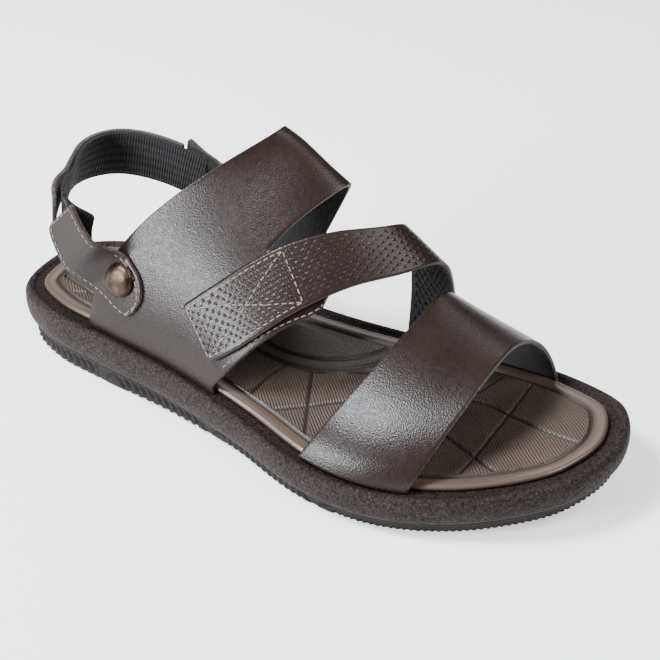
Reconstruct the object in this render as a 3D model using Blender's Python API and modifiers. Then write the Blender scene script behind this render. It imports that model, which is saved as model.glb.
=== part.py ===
"""Right-foot flat sandal: rubber outsole, foam midsole, footbed, leather straps and heel strap.

Frame: +Y towards the toe, +X towards the outer side of the foot, +Z up, ground at Z = 0.
"""

import functools
import math
from collections import namedtuple

import bmesh
import bpy
from mathutils import Vector

MM = 0.001

# Driving sizes of the sole
SOLE_LENGTH = 290 * MM
BALL_WIDTH = 116 * MM
HEEL_HEIGHT = 28 * MM
BALL_HEIGHT = 18.6 * MM
TOE_SPRING = 11 * MM
ARCH_RELIEF = 1.2 * MM
OUTSOLE_HEEL = 11.5 * MM
OUTSOLE_BALL = 6 * MM
LUG_DEPTH = 0.9 * MM
LUG_PAIRS = 30
OUTSOLE_INSET = 3.6 * MM
GROOVE_INSET = 3.4 * MM
BRIM_WIDTH = 9 * MM
STRAP_INSET = 8.1 * MM
CHANNEL_DEPTH = 1.5 * MM
BEAD_WIDTH = 6.5 * MM
BEAD_HEIGHT = 2.6 * MM
FOOTBED_THICKNESS = 2.2 * MM
HEEL_CUP = 1.2 * MM
ARCH_RISE = 2.5 * MM

# Driving sizes of the straps
INSTEP_HEIGHT = 93 * MM
TOE_STRAP_HEIGHT = 40 * MM
LEATHER = 2 * MM
PATCH_GAP = 1 * MM
PATCH_BITE = 0.4 * MM
HEEL_STRAP_WIDTH = 23 * MM
HEEL_STRAP_HEIGHT = 80 * MM
WEBBING = 1.5 * MM
HEEL_LEATHER = 1.6 * MM
TAB_WIDTH = 27 * MM
TAB_LENGTH = 50 * MM
TAB_LEATHER = 1.8 * MM
RIVET_RADIUS = 7.4 * MM
RIVET_DOME = 2.4 * MM
RIVET_SKIRT = 0.5 * MM
RIVET_HEAD = 0.9 * MM
SHANK_RADIUS = 2.4 * MM
CLEARANCE = 0.3 * MM

# Fineness of the lofts
HALF_COLUMNS = 40
SECTION_STEPS = 30
BAND_STEPS = 6
CROWN_SOFTENING = 8

# Outline of the sole, heel to toe: outer and inner half width as shares of the ball width
Outline = namedtuple("Outline", "along outer inner")
OUTLINE = [
    Outline(0.020, 0.209, -0.178),
    Outline(0.100, 0.317, -0.301),
    Outline(0.207, 0.353, -0.328),
    Outline(0.345, 0.382, -0.323),
    Outline(0.480, 0.445, -0.352),
    Outline(0.610, 0.533, -0.405),
    Outline(0.725, 0.533, -0.452),
    Outline(0.840, 0.432, -0.443),
    Outline(0.940, 0.259, -0.355),
    Outline(0.982, 0.112, -0.240),
]
HEEL_TIP = (0.008, 0.0007)
TOE_TIP = (-0.060, 0.9995)

# Stretches of the side with main lugs, as shares of the length
LUG_ZONES = [(0.0, 0.197), (0.252, 0.407), (0.493, 0.617), (0.669, 1.0)]

# Sections of the last, each the line that one strap edge follows over the foot.
# Places along the sole are shares of its length; height is a share of its strap's height.
# Full says how square each side is, and lean how late it sweeps to the crown's place.
Section = namedtuple(
    "Section",
    "outer_along inner_along crown_along crown_across height outer_full inner_full outer_lean inner_lean",
)
INSTEP_SECTIONS = [
    Section(0.179, 0.180, 0.418, 0.96, 1.025, 1.42, 3.6, 2.0, 1.2),
    Section(0.428, 0.400, 0.523, 0.96, 0.845, 1.45, 3.6, 4.0, 1.0),
    Section(0.530, 0.686, 0.668, 0.80, 0.550, 1.50, 2.4, 2.0, 1.0),
]
TOE_SECTIONS = [
    Section(0.603, 0.708, 0.680, 0.76, 1.000, 1.50, 2.3, 1.0, 1.0),
    Section(0.768, 0.848, 0.815, 0.58, 0.830, 1.50, 2.1, 1.0, 1.0),
]

# Rows of a strap laid over the last: section number and way round (0 outer, 1 crown, 2 inner)
# of its back and front edge, and how many leather-and-patch layers it is lifted.
Row = namedtuple("Row", "back_section back_round front_section front_round lift")
FORK_ROWS = [
    Row(1.00, 0.590, 1.00, 0.030, 0.0),
    Row(1.20, 0.660, 1.25, 0.200, 0.0),
    Row(1.42, 0.660, 1.50, 0.350, 0.0),
    Row(1.60, 0.640, 1.68, 0.475, 0.0),
    Row(1.66, 0.620, 1.72, 0.550, 0.0),
]
CLOSURE_ROWS = [
    Row(0.63, 0.250, 0.97, 0.125, 1.0),
    Row(0.83, 0.400, 1.25, 0.250, 1.0),
    Row(0.97, 0.525, 1.46, 0.375, 1.0),
    Row(1.10, 0.650, 1.63, 0.525, 1.0),
    Row(1.29, 0.800, 1.76, 0.700, 1.0),
    Row(1.53, 0.980, 1.90, 0.900, 0.7),
    Row(1.65, 1.200, 1.99, 1.150, 0.3),
    Row(1.71, 1.550, 2.00, 1.550, 0.1),
    Row(1.735, 2.000, 2.00, 2.000, 0.0),
]
PATCH_ROWS = 4
PATCH_MARGIN = 0.1

# Rows of the heel strap's middle line, from its outer end round the heel to its inner end:
# across as a share of the ball width, along of the sole's length, height of the strap's height.
# Lean is how far its top tips inwards, and lift is in thicknesses of the tab it passes over.
PathRow = namedtuple("PathRow", "across along height lean lift")
HEEL_PATH = [
    PathRow(0.215, 0.1960, 0.826, 0.00, 0.0),
    PathRow(0.250, 0.1734, 0.895, 0.00, 0.0),
    PathRow(0.262, 0.1510, 0.985, 0.04, 1.6),
    PathRow(0.218, 0.1330, 1.008, 0.12, 0.95),
    PathRow(0.125, 0.1110, 0.998, 0.30, 0.3),
    PathRow(0.036, 0.0880, 0.994, 0.35, 0.0),
    PathRow(-0.060, 0.0715, 0.994, 0.35, 0.0),
    PathRow(-0.147, 0.0750, 0.994, 0.25, 0.0),
    PathRow(-0.214, 0.0945, 0.994, 0.15, 0.0),
    PathRow(-0.247, 0.1276, 0.994, 0.08, 0.0),
    PathRow(-0.255, 0.1724, 0.992, 0.06, 0.0),
    PathRow(-0.250, 0.2180, 0.982, 0.05, 0.0),
    PathRow(-0.248, 0.2580, 0.962, 0.05, 0.0),
]
HEEL_LEATHER_START = 0.195
HEEL_LEATHER_END = 0.90

# Where a rivet sits on the last, and how its tab rises towards the heel, in degrees
RivetPlace = namedtuple("RivetPlace", "side section around rise")
RIVETS = [
    RivetPlace("outer", 0.155, 0.212, 43.8),
    RivetPlace("inner", 0.30, 1.50, 10.0),
]

# Outline of a tab: distance back from the rivet as a share of its length, and its upper and
# lower edge as shares of its width
TabRow = namedtuple("TabRow", "back upper lower")
TAB_ROWS = [
    TabRow(-0.280, -0.06, -0.20),
    TabRow(-0.255, 0.11, -0.28),
    TabRow(-0.205, 0.22, -0.34),
    TabRow(-0.130, 0.29, -0.40),
    TabRow(-0.050, 0.31, -0.45),
    TabRow(0.040, 0.29, -0.52),
    TabRow(0.120, 0.27, -0.60),
    TabRow(0.200, 0.27, -0.645),
    TabRow(0.300, 0.30, -0.635),
    TabRow(0.400, 0.36, -0.575),
    TabRow(0.490, 0.40, -0.505),
    TabRow(0.590, 0.44, -0.42),
    TabRow(0.690, 0.51, -0.32),
    TabRow(0.750, 0.55, -0.22),
    TabRow(0.775, 0.52, -0.10),
]
TAB_PLANE = 0.2960
TAB_LIFT_OFF = 0.09
TAB_LIFT_SPAN = 0.36


def clear_scene():
    for item in list(bpy.data.objects):
        bpy.data.objects.remove(item, do_unlink=True)


def collection(name):
    group = bpy.data.collections.new(name)
    bpy.context.scene.collection.children.link(group)
    return group


def material(name, colour, roughness, metallic=0.0):
    finish = bpy.data.materials.new(name)
    finish.use_nodes = True
    shader = finish.node_tree.nodes["Principled BSDF"]
    shader.inputs["Base Color"].default_value = (*colour, 1.0)
    shader.inputs["Roughness"].default_value = roughness
    shader.inputs["Metallic"].default_value = metallic
    return finish


def smooth_step(share):
    share = min(max(share, 0.0), 1.0)
    return share * share * (3 - 2 * share)


def catmull_rom(before, start, end, after, share):
    """Point on the smooth curve from start to end, for tuples of numbers."""
    result = []
    for a, b, c, d in zip(before, start, end, after):
        bend = (2 * a - 5 * b + 4 * c - d) * share ** 2
        twist = (3 * b - a - 3 * c + d) * share ** 3
        result.append(0.5 * (2 * b + (c - a) * share + bend + twist))
    return tuple(result)


def along_rows(rows, share):
    """Smooth value between rows of numbers, with share 0 at the first and 1 at the last."""
    place = share * (len(rows) - 1)
    start = min(int(place), len(rows) - 2)
    before = rows[max(start - 1, 0)]
    after = rows[min(start + 2, len(rows) - 1)]
    return catmull_rom(before, rows[start], rows[start + 1], after, place - start)


def even_points(points, count):
    """The given polyline again, as count + 1 points an even distance apart."""
    reach = [0.0]
    for start, end in zip(points, points[1:]):
        reach.append(reach[-1] + math.dist(start, end))
    result = []
    place = 0
    for index in range(count + 1):
        wanted = reach[-1] * index / count
        while place < len(points) - 2 and reach[place + 1] < wanted:
            place += 1
        share = (wanted - reach[place]) / (reach[place + 1] - reach[place])
        pair = zip(points[place], points[place + 1])
        result.append(tuple(a + (b - a) * share for a, b in pair))
    return result


@functools.lru_cache(maxsize=None)
def outline_halves(inset):
    """Outer and inner half of the sole's outline, heel tip to toe tip, moved in by inset."""
    outer = [(row.outer, row.along) for row in OUTLINE]
    inner = [(row.inner, row.along) for row in reversed(OUTLINE)]
    shares = [HEEL_TIP, *outer, TOE_TIP, *inner]
    knots = [(x * BALL_WIDTH, y * SOLE_LENGTH) for x, y in shares]
    steps = 16
    loop = []
    for index in range(len(knots)):
        four = [knots[(index + offset) % len(knots)] for offset in (-1, 0, 1, 2)]
        loop.extend(catmull_rom(*four, step / steps) for step in range(steps))
    moved = []
    for index, (x, y) in enumerate(loop):
        ahead = loop[(index + 1) % len(loop)]
        behind = loop[index - 1]
        run = Vector((ahead[0] - behind[0], ahead[1] - behind[1])).normalized()
        moved.append((x - run.y * inset, y + run.x * inset))
    turn = steps * (len(OUTLINE) + 1)
    return moved[: turn + 1], [moved[0], *reversed(moved[turn:])]


def side_x(along, inset, outer):
    """Where the inset outline's outer or inner side stands at a place along the sole."""
    half = outline_halves(inset)[0 if outer else 1]
    for start, end in zip(half, half[1:]):
        if start[1] <= along <= end[1]:
            share = (along - start[1]) / (end[1] - start[1])
            return start[0] + (end[0] - start[0]) * share
    return half[-1][0]


def spring(along):
    """Rise of the whole toe above the ground."""
    return TOE_SPRING * max(0.0, (along / SOLE_LENGTH - 0.7) / 0.3) ** 2


def wedge(along, heel, ball):
    """A height that falls from its heel value to its ball value, and rises with the toe."""
    share = smooth_step((along / SOLE_LENGTH - 0.12) / 0.56)
    return heel + (ball - heel) * share + spring(along)


def rim_height(along):
    return wedge(along, HEEL_HEIGHT, BALL_HEIGHT)


def joint_height(along):
    """Height of the joint between outsole and midsole."""
    return wedge(along, OUTSOLE_HEEL, OUTSOLE_BALL)


def seat_height(along):
    """Top of the midsole under the footbed."""
    return rim_height(along) - CHANNEL_DEPTH


def ground_height(along):
    """Underside of the outsole: flat at heel and ball, relieved under the arch."""
    share = along / SOLE_LENGTH
    arch = math.sin(math.pi * min(max((share - 0.36) / 0.2, 0.0), 1.0)) ** 2
    return ARCH_RELIEF * arch + spring(along)


def ring(inset, height, columns=HALF_COLUMNS, toothed=False):
    """One closed ring of points round the sole, outer side first; teeth step in by a lug's depth."""
    halves = []
    for side, half in enumerate(outline_halves(round(inset, 7))):
        deep = outline_halves(round(inset + LUG_DEPTH, 7))[side]
        plain = even_points(half, columns)
        cut = even_points(deep, columns)
        points = []
        for index, (x, y) in enumerate(plain):
            share = y / SOLE_LENGTH
            in_zone = any(low <= share <= high for low, high in LUG_ZONES)
            if toothed and in_zone and index % 4 >= 2:
                x, y = cut[index]
            points.append(Vector((x, y, height(y))))
        halves.append(points)
    outer, inner = halves
    return outer + list(reversed(inner[1:-1]))


def cap(mesh, verts, columns, inner_columns=0, height=None):
    """Closes a ring with a ladder of faces between its outer and inner side."""
    rungs = []
    for index in range(1, columns):
        left = verts[index]
        right = verts[-index]
        rung = [left]
        for step in range(1, inner_columns + 1):
            share = step / (inner_columns + 1)
            point = left.co.lerp(right.co, share)
            if height:
                point.z = height(point.x, point.y, share)
            rung.append(mesh.verts.new(point))
        rung.append(right)
        rungs.append(rung)
    for first, second in zip(rungs, rungs[1:]):
        for index in range(len(first) - 1):
            mesh.faces.new((first[index], second[index], second[index + 1], first[index + 1]))
    for tip, rung in ((verts[0], rungs[0]), (verts[columns], rungs[-1])):
        for index in range(len(rung) - 1):
            mesh.faces.new((tip, rung[index], rung[index + 1]))


def finish_mesh(mesh, name, group, finish):
    """Turns a filled bmesh into a named, smooth-shaded object of the sandal."""
    bmesh.ops.recalc_face_normals(mesh, faces=mesh.faces)
    data = bpy.data.meshes.new(name)
    mesh.to_mesh(data)
    mesh.free()
    data.shade_smooth()
    data.set_sharp_from_angle(angle=math.radians(35))
    item = bpy.data.objects.new(name, data)
    item.data.materials.append(finish)
    group.objects.link(item)
    return item


def loft_rings(name, rings, group, finish, columns, top_columns=0, top_height=None):
    """A closed body from rings that run from the bottom face out, up and in to the top face."""
    mesh = bmesh.new()
    loops = [[mesh.verts.new(point) for point in points] for points in rings]
    for low, high in zip(loops, loops[1:]):
        for index in range(len(low)):
            after = (index + 1) % len(low)
            mesh.faces.new((low[index], low[after], high[after], high[index]))
    cap(mesh, loops[0], columns)
    cap(mesh, loops[-1], columns, top_columns, top_height)
    return finish_mesh(mesh, name, group, finish)


def make_outsole(group, finish):
    """Rubber outsole with main lugs cut into its side."""
    columns = 4 * LUG_PAIRS

    def top(along):
        return joint_height(along) - CLEARANCE / 2

    def between(share):
        return lambda along: ground_height(along) + (top(along) - ground_height(along)) * share

    rings = [
        ring(OUTSOLE_INSET + 1.6 * MM, ground_height, columns),
        ring(OUTSOLE_INSET + 0.4 * MM, between(0.10), columns, toothed=True),
        ring(OUTSOLE_INSET, between(0.45), columns, toothed=True),
        ring(OUTSOLE_INSET - 0.3 * MM, between(0.72), columns, toothed=True),
        ring(OUTSOLE_INSET - 0.4 * MM, between(0.80), columns),
        ring(OUTSOLE_INSET, top, columns),
    ]
    return loft_rings("outsole", rings, group, finish, columns)


def make_midsole(group, finish):
    """Foam midsole with a bulged side, a rounded shoulder and a brim round the footbed."""

    def above_joint(rise):
        return lambda along: joint_height(along) + rise

    def side(share):
        return lambda along: joint_height(along) + (rim_height(along) - joint_height(along)) * share

    def below_rim(drop):
        return lambda along: rim_height(along) - drop

    rings = [
        ring(GROOVE_INSET, above_joint(CLEARANCE / 2)),
        ring(GROOVE_INSET * 0.4, above_joint(1.2 * MM)),
        ring(GROOVE_INSET * 0.1, side(0.30)),
        ring(0.0, side(0.55)),
        ring(0.5 * MM, below_rim(2.4 * MM)),
        ring(1.6 * MM, below_rim(0.7 * MM)),
        ring(3.2 * MM, below_rim(0.0)),
        ring(4.6 * MM, below_rim(0.5 * MM)),
        ring(STRAP_INSET - LEATHER - 2 * CLEARANCE, seat_height),
    ]
    return loft_rings("midsole", rings, group, finish, HALF_COLUMNS)


def footbed_height(x, along, share):
    """Top of the footbed inside its bead: cupped under the heel and raised under the arch."""
    heel = HEEL_CUP * math.sin(math.pi * share) * (1 - smooth_step((along / SOLE_LENGTH - 0.2) / 0.2))
    arch_place = max(0.0, 1 - abs(along / SOLE_LENGTH - 0.42) / 0.2)
    arch = ARCH_RISE * smooth_step(arch_place) * smooth_step((share - 0.45) / 0.5)
    return seat_height(along) + CLEARANCE + FOOTBED_THICKNESS - heel + arch


def make_footbed(group, finish):
    """Footbed with a rounded bead round its edge."""
    edge = BRIM_WIDTH + CLEARANCE

    def above_seat(rise):
        return lambda along: seat_height(along) + CLEARANCE + rise

    rings = [
        ring(edge + 0.8 * MM, above_seat(0.0)),
        ring(edge, above_seat(0.8 * MM)),
        ring(edge + 0.6 * MM, above_seat(BEAD_HEIGHT - 0.6 * MM)),
        ring(edge + BEAD_WIDTH * 0.35, above_seat(BEAD_HEIGHT)),
        ring(edge + BEAD_WIDTH * 0.75, above_seat(BEAD_HEIGHT - 0.3 * MM)),
        ring(edge + BEAD_WIDTH, above_seat(FOOTBED_THICKNESS - 0.5 * MM)),
        ring(edge + BEAD_WIDTH + 0.8 * MM, above_seat(FOOTBED_THICKNESS)),
    ]
    return loft_rings("footbed", rings, group, finish, HALF_COLUMNS, 5, footbed_height)


def section_at(sections, number):
    """Section between the given ones, on the smooth curve through them; straight on behind them."""
    if number < 0:
        first = section_at(sections, 0.0)
        second = section_at(sections, 0.2)
        pairs = zip(first, second)
        section = Section(*(a + (b - a) * number / 0.2 for a, b in pairs))
        return section._replace(outer_lean=first.outer_lean, inner_lean=first.inner_lean)
    result = []
    for values in zip(*sections):
        total = 0.0
        for index, value in enumerate(values):
            weight = 1.0
            for other in range(len(values)):
                if other != index:
                    weight *= (number - other) / (index - other)
            total += value * weight
        result.append(total)
    return Section(*result)


@functools.lru_cache(maxsize=None)
def section_line(sections, number, strap_height):
    """Even points from the outer base over the crown to the inner base, half of them each side."""
    section = section_at(sections, number)
    outer_y = section.outer_along * SOLE_LENGTH
    inner_y = section.inner_along * SOLE_LENGTH
    crown_y = section.crown_along * SOLE_LENGTH
    outer_x = side_x(outer_y, STRAP_INSET, True)
    inner_x = side_x(inner_y, STRAP_INSET, False)
    crown_x = outer_x + (inner_x - outer_x) * section.crown_across
    crown_z = rim_height(crown_y) + section.height * strap_height
    sides = (
        (outer_x, outer_y, section.outer_full, section.outer_lean),
        (inner_x, inner_y, section.inner_full, section.inner_lean),
    )
    halves = []
    for base_x, base_y, full, lean in sides:
        base_z = seat_height(base_y) + CLEARANCE
        points = []
        for step in range(41):
            angle = step / 40 * math.pi / 2
            rise = math.sin(angle) ** (2 / full)
            reach = max(0.0, math.cos(angle)) ** (2 / full)
            points.append((
                crown_x + (base_x - crown_x) * reach,
                base_y + (crown_y - base_y) * rise ** lean,
                base_z + (crown_z - base_z) * rise,
            ))
        halves.append(even_points(points, 40))
    outer, inner = halves
    line = outer + list(reversed(inner[:-1]))
    for _ in range(CROWN_SOFTENING):
        middle = [
            tuple((a + 2 * b + c) / 4 for a, b, c in zip(*three))
            for three in zip(line, line[1:], line[2:])
        ]
        line = [line[0], *middle, line[-1]]
    return line


def last_point(sections, number, around, strap_height):
    """Point on the last: along the sections by number, round them from 0 to 2."""
    line = section_line(sections, round(number, 5), strap_height)
    place = min(max(around, 0.0), 2.0) * 40
    start = min(int(place), len(line) - 2)
    share = place - start
    return Vector(line[start]).lerp(Vector(line[start + 1]), share)


def last_normal(sections, number, around, strap_height):
    """Direction out of the last, from its slopes both ways."""
    step = 0.02
    low = max(around - step, 0.0)
    high = min(around + step, 2.0)
    forward = last_point(sections, number + step, around, strap_height)
    forward -= last_point(sections, number - step, around, strap_height)
    over = last_point(sections, number, high, strap_height)
    over -= last_point(sections, number, low, strap_height)
    return forward.cross(over).normalized()


def sheet(name, grids, group, finish, thickness):
    """A leather sheet from grids of points, thickened outwards; grids share their common points."""
    mesh = bmesh.new()
    known = {}

    def vert(point):
        key = tuple(round(value, 6) for value in point)
        if key not in known:
            known[key] = mesh.verts.new(point)
        return known[key]

    for points in grids:
        rows = [[vert(point) for point in row] for row in points]
        for first, second in zip(rows, rows[1:]):
            for index in range(len(first) - 1):
                mesh.faces.new((first[index], second[index], second[index + 1], first[index + 1]))
    bmesh.ops.recalc_face_normals(mesh, faces=mesh.faces)
    middle = sum((vertex.co for vertex in mesh.verts), Vector()) / len(mesh.verts)
    middle.x = 0.0
    facing = sum(
        face.normal.dot(face.calc_center_median() - middle) * face.calc_area() for face in mesh.faces
    )
    if facing < 0:
        bmesh.ops.reverse_faces(mesh, faces=mesh.faces)
    data = bpy.data.meshes.new(name)
    mesh.to_mesh(data)
    mesh.free()
    data.shade_smooth()
    data.set_sharp_from_angle(angle=math.radians(35))
    item = bpy.data.objects.new(name, data)
    item.data.materials.append(finish)
    group.objects.link(item)
    solid = item.modifiers.new("Leather thickness", "SOLIDIFY")
    solid.thickness = thickness
    solid.offset = 1.0
    solid.use_even_offset = True
    return item


def strap_grid(rows, count, across, strap_height, lift_size, margin=0.0):
    """Grid of points for a strap whose rows lie over the instep, lifted along its normal."""
    sections = tuple(INSTEP_SECTIONS)
    grid = []
    for index in range(count + 1):
        row = Row(*along_rows(rows, index / count))
        points = []
        for step in range(across + 1):
            share = margin + (1 - 2 * margin) * step / across
            number = row.back_section + (row.front_section - row.back_section) * share
            around = row.back_round + (row.front_round - row.back_round) * share
            point = last_point(sections, number, around, strap_height)
            if lift_size:
                normal = last_normal(sections, number, around, strap_height)
                point += normal * lift_size * max(row.lift, 0.0)
            points.append(point)
        grid.append(points)
    return grid


def band_grid(sections, strap_height, rounds, steps):
    """Grid of points for a band that fills the space between the first two sections."""
    grid = []
    for around in rounds:
        row = [last_point(sections, step / steps, around, strap_height) for step in range(steps + 1)]
        grid.append(row)
    return grid


def make_front_strap(group, finish):
    """Wide band over the toes."""
    rounds = [2 * step / SECTION_STEPS for step in range(SECTION_STEPS + 1)]
    grid = band_grid(tuple(TOE_SECTIONS), TOE_STRAP_HEIGHT, rounds, BAND_STEPS)
    return sheet("front_strap", [grid], group, finish, LEATHER)


def make_instep_band(group, finish):
    """Instep band with the fork that runs forward from it under the closure strap."""
    fork_low = FORK_ROWS[0].front_round
    fork_high = FORK_ROWS[0].back_round
    fork_steps = 6
    rounds = [0.0]
    rounds += [fork_low + (fork_high - fork_low) * step / fork_steps for step in range(fork_steps + 1)]
    rest = SECTION_STEPS - len(rounds)
    rounds += [fork_high + (2 - fork_high) * step / rest for step in range(1, rest + 1)]
    band = band_grid(tuple(INSTEP_SECTIONS), INSTEP_HEIGHT, rounds, BAND_STEPS)
    fork = strap_grid(FORK_ROWS, 8, fork_steps, INSTEP_HEIGHT, 0.0)
    return sheet("instep_straps", [band, fork], group, finish, LEATHER)


def make_closure(cutters, finish):
    """Closure strap from the inner side over the instep, and its hook-and-loop patch."""
    lift = LEATHER + PATCH_GAP
    grid = strap_grid(CLOSURE_ROWS, 28, 4, INSTEP_HEIGHT, lift)
    strap = sheet("closure_strap", [grid], cutters, finish, LEATHER)
    low = LEATHER - PATCH_BITE
    grid = strap_grid(CLOSURE_ROWS[:PATCH_ROWS], 8, 3, INSTEP_HEIGHT, low, PATCH_MARGIN)
    patch = sheet("hook_patch", [grid], cutters, finish, PATCH_GAP + 2 * PATCH_BITE)
    return strap, patch


def boolean(item, other, operation):
    step = item.modifiers.new(other.name, "BOOLEAN")
    step.operation = operation
    step.solver = "EXACT"
    step.object = other
    other.hide_render = True
    other.display_type = "WIRE"


def wall_point(side, along, height):
    """Point of the last's outer or inner wall at a place along the sole and a height."""
    crossings = []
    for step in range(-8, 15):
        line = section_line(tuple(INSTEP_SECTIONS), round(step / 12, 5), INSTEP_HEIGHT)
        half = line[:41] if side == "outer" else list(reversed(line[40:]))
        for low, high in zip(half, half[1:]):
            if low[2] <= height <= high[2]:
                share = (height - low[2]) / (high[2] - low[2])
                crossings.append([a + (b - a) * share for a, b in zip(low, high)])
                break
    for back, front in zip(crossings, crossings[1:]):
        if back[1] <= along <= front[1]:
            share = (along - back[1]) / (front[1] - back[1])
            return Vector((back[0] + (front[0] - back[0]) * share, along, height))
    end = crossings[0] if along < crossings[0][1] else crossings[-1]
    return Vector((end[0], along, height))


def wall_normal(side, along, height):
    step = 2 * MM
    forward = wall_point(side, along + step, height) - wall_point(side, along - step, height)
    upward = wall_point(side, along, height + step) - wall_point(side, along, height - step)
    normal = forward.cross(upward).normalized()
    return normal if side == "outer" else -normal


def rivet_centre(place):
    """Centre and outward direction of a rivet on the last."""
    sections = tuple(INSTEP_SECTIONS)
    centre = last_point(sections, place.section, place.around, INSTEP_HEIGHT)
    normal = last_normal(sections, place.section, place.around, INSTEP_HEIGHT)
    return centre, normal


def make_tab(place, group, finish):
    """Riveted tab: it lies on the band round its rivet and runs back outside the webbing."""
    centre, _ = rivet_centre(place)
    rise = math.radians(place.rise)
    back = Vector((0, -math.cos(rise), math.sin(rise)))
    up = Vector((0, math.sin(rise), math.cos(rise)))
    sign = 1 if place.side == "outer" else -1
    lift = LEATHER + CLEARANCE
    grid = []
    count = 18
    across = 4
    for index in range(count + 1):
        row = TabRow(*along_rows(TAB_ROWS, index / count))
        free = smooth_step((row.back - TAB_LIFT_OFF) / TAB_LIFT_SPAN)
        points = []
        for step in range(across + 1):
            share = row.lower + (row.upper - row.lower) * step / across
            spot = centre + back * row.back * TAB_LENGTH + up * share * TAB_WIDTH
            seated = wall_point(place.side, spot.y, spot.z)
            seated += wall_normal(place.side, spot.y, spot.z) * lift
            straight = Vector((sign * TAB_PLANE * BALL_WIDTH, spot.y, spot.z))
            points.append(seated.lerp(straight, free))
        grid.append(points)
    return sheet("heel_tab_" + place.side, [grid], group, finish, TAB_LEATHER)


def heel_grid(start, end, count, lift_size, width):
    """Grid of points of a strip that follows the heel strap's path, at a lift outside it."""

    def spot(share):
        row = PathRow(*along_rows(HEEL_PATH, share))
        place = Vector((row.across * BALL_WIDTH, row.along * SOLE_LENGTH, row.height * HEEL_STRAP_HEIGHT))
        return row, place

    grid = []
    for index in range(count + 1):
        share = start + (end - start) * index / count
        row, centre = spot(share)
        run = (spot(min(share + 0.02, 1.0))[1] - spot(max(share - 0.02, 0.0))[1]).normalized()
        outward = Vector((-run.y, run.x, 0)).normalized()
        upright = (Vector((0, 0, 1)) - run * run.z).normalized()
        upright = (upright - outward * row.lean).normalized()
        lift = lift_size + max(row.lift, 0.0) * TAB_LEATHER if lift_size else 0.0
        base = centre + outward * lift
        points = [base + upright * width * (0.5 - step / 2) for step in range(3)]
        grid.append(points)
    return grid


def make_heel_strap(group, webbing_finish, leather_finish):
    """Webbing round the heel, and the leather over its outside that closes over the outer tab."""
    grid = heel_grid(0.0, 1.0, 36, 0.0, HEEL_STRAP_WIDTH)
    sheet("heel_webbing", [grid], group, webbing_finish, WEBBING)
    lift = WEBBING + 2 * CLEARANCE
    width = HEEL_STRAP_WIDTH + 1 * MM
    grid = heel_grid(HEEL_LEATHER_START, HEEL_LEATHER_END, 30, lift, width)
    sheet("heel_leather", [grid], group, leather_finish, HEEL_LEATHER)


def make_rivet(place, group, finish):
    """Domed rivet through tab and band, with a flat head inside."""
    grip = LEATHER + CLEARANCE + TAB_LEATHER + 3 * CLEARANCE
    inside = -CLEARANCE
    profile = [(0.0, grip + RIVET_DOME)]
    for step in range(1, 7):
        angle = step / 6 * math.pi / 2
        crown = (RIVET_DOME - RIVET_SKIRT) * math.cos(angle)
        profile.append((RIVET_RADIUS * math.sin(angle), grip + RIVET_SKIRT + crown))
    profile += [
        (RIVET_RADIUS, grip),
        (SHANK_RADIUS, grip),
        (SHANK_RADIUS, inside),
        (RIVET_RADIUS * 0.6, inside),
        (RIVET_RADIUS * 0.6, inside - RIVET_HEAD),
        (0.0, inside - RIVET_HEAD),
    ]
    data = bpy.data.meshes.new("rivet_" + place.side)
    edges = [(index, index + 1) for index in range(len(profile) - 1)]
    data.from_pydata([(radius, 0.0, height) for radius, height in profile], edges, [])
    item = bpy.data.objects.new("rivet_" + place.side, data)
    item.data.materials.append(finish)
    group.objects.link(item)
    turn = item.modifiers.new("Turned", "SCREW")
    turn.steps = 16
    turn.render_steps = 16
    turn.use_merge_vertices = True
    turn.merge_threshold = 0.00001
    centre, normal = rivet_centre(place)
    item.location = centre
    item.rotation_mode = "QUATERNION"
    item.rotation_quaternion = normal.to_track_quat("Z", "Y")
    return item


def make_rivet_hole(place, cutters):
    """Cutter for the hole that a rivet's shank passes through."""
    bpy.ops.mesh.primitive_cylinder_add(vertices=16, radius=SHANK_RADIUS + CLEARANCE, depth=20 * MM)
    cutter = bpy.context.object
    cutter.name = "hole_" + place.side
    for group in list(cutter.users_collection):
        group.objects.unlink(cutter)
    cutters.objects.link(cutter)
    centre, normal = rivet_centre(place)
    cutter.location = centre
    cutter.rotation_mode = "QUATERNION"
    cutter.rotation_quaternion = normal.to_track_quat("Z", "Y")
    return cutter


def centre_on_ground(items, sole):
    """Moves everything so that the origin is under the middle of the sole."""
    corners = [vertex.co for vertex in sole.data.vertices]
    middle = Vector((
        (min(point.x for point in corners) + max(point.x for point in corners)) / 2,
        (min(point.y for point in corners) + max(point.y for point in corners)) / 2,
        0.0,
    ))
    for item in items:
        item.location -= middle


def build():
    clear_scene()
    group = collection("flat_sandal")
    cutters = collection("sandal_cutters")
    rubber = material("outsole_rubber", (0.030, 0.024, 0.022), 0.75)
    foam = material("midsole_foam", (0.065, 0.048, 0.042), 0.85)
    cover = material("footbed_cover", (0.13, 0.105, 0.085), 0.55)
    leather = material("strap_leather", (0.030, 0.020, 0.017), 0.35)
    cloth = material("webbing_cloth", (0.022, 0.016, 0.019), 0.9)
    bronze = material("rivet_bronze", (0.20, 0.13, 0.08), 0.4, 0.9)
    make_outsole(group, rubber)
    midsole = make_midsole(group, foam)
    make_footbed(group, cover)
    make_front_strap(group, leather)
    band = make_instep_band(group, leather)
    for other in make_closure(cutters, leather):
        boolean(band, other, "UNION")
    make_heel_strap(group, cloth, leather)
    for place in RIVETS:
        tab = make_tab(place, group, leather)
        cutter = make_rivet_hole(place, cutters)
        boolean(tab, cutter, "DIFFERENCE")
        boolean(band, cutter, "DIFFERENCE")
        make_rivet(place, group, bronze)
    centre_on_ground([*group.objects, *cutters.objects], midsole)


build()
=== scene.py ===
import math
from collections import namedtuple
from functools import lru_cache

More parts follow.
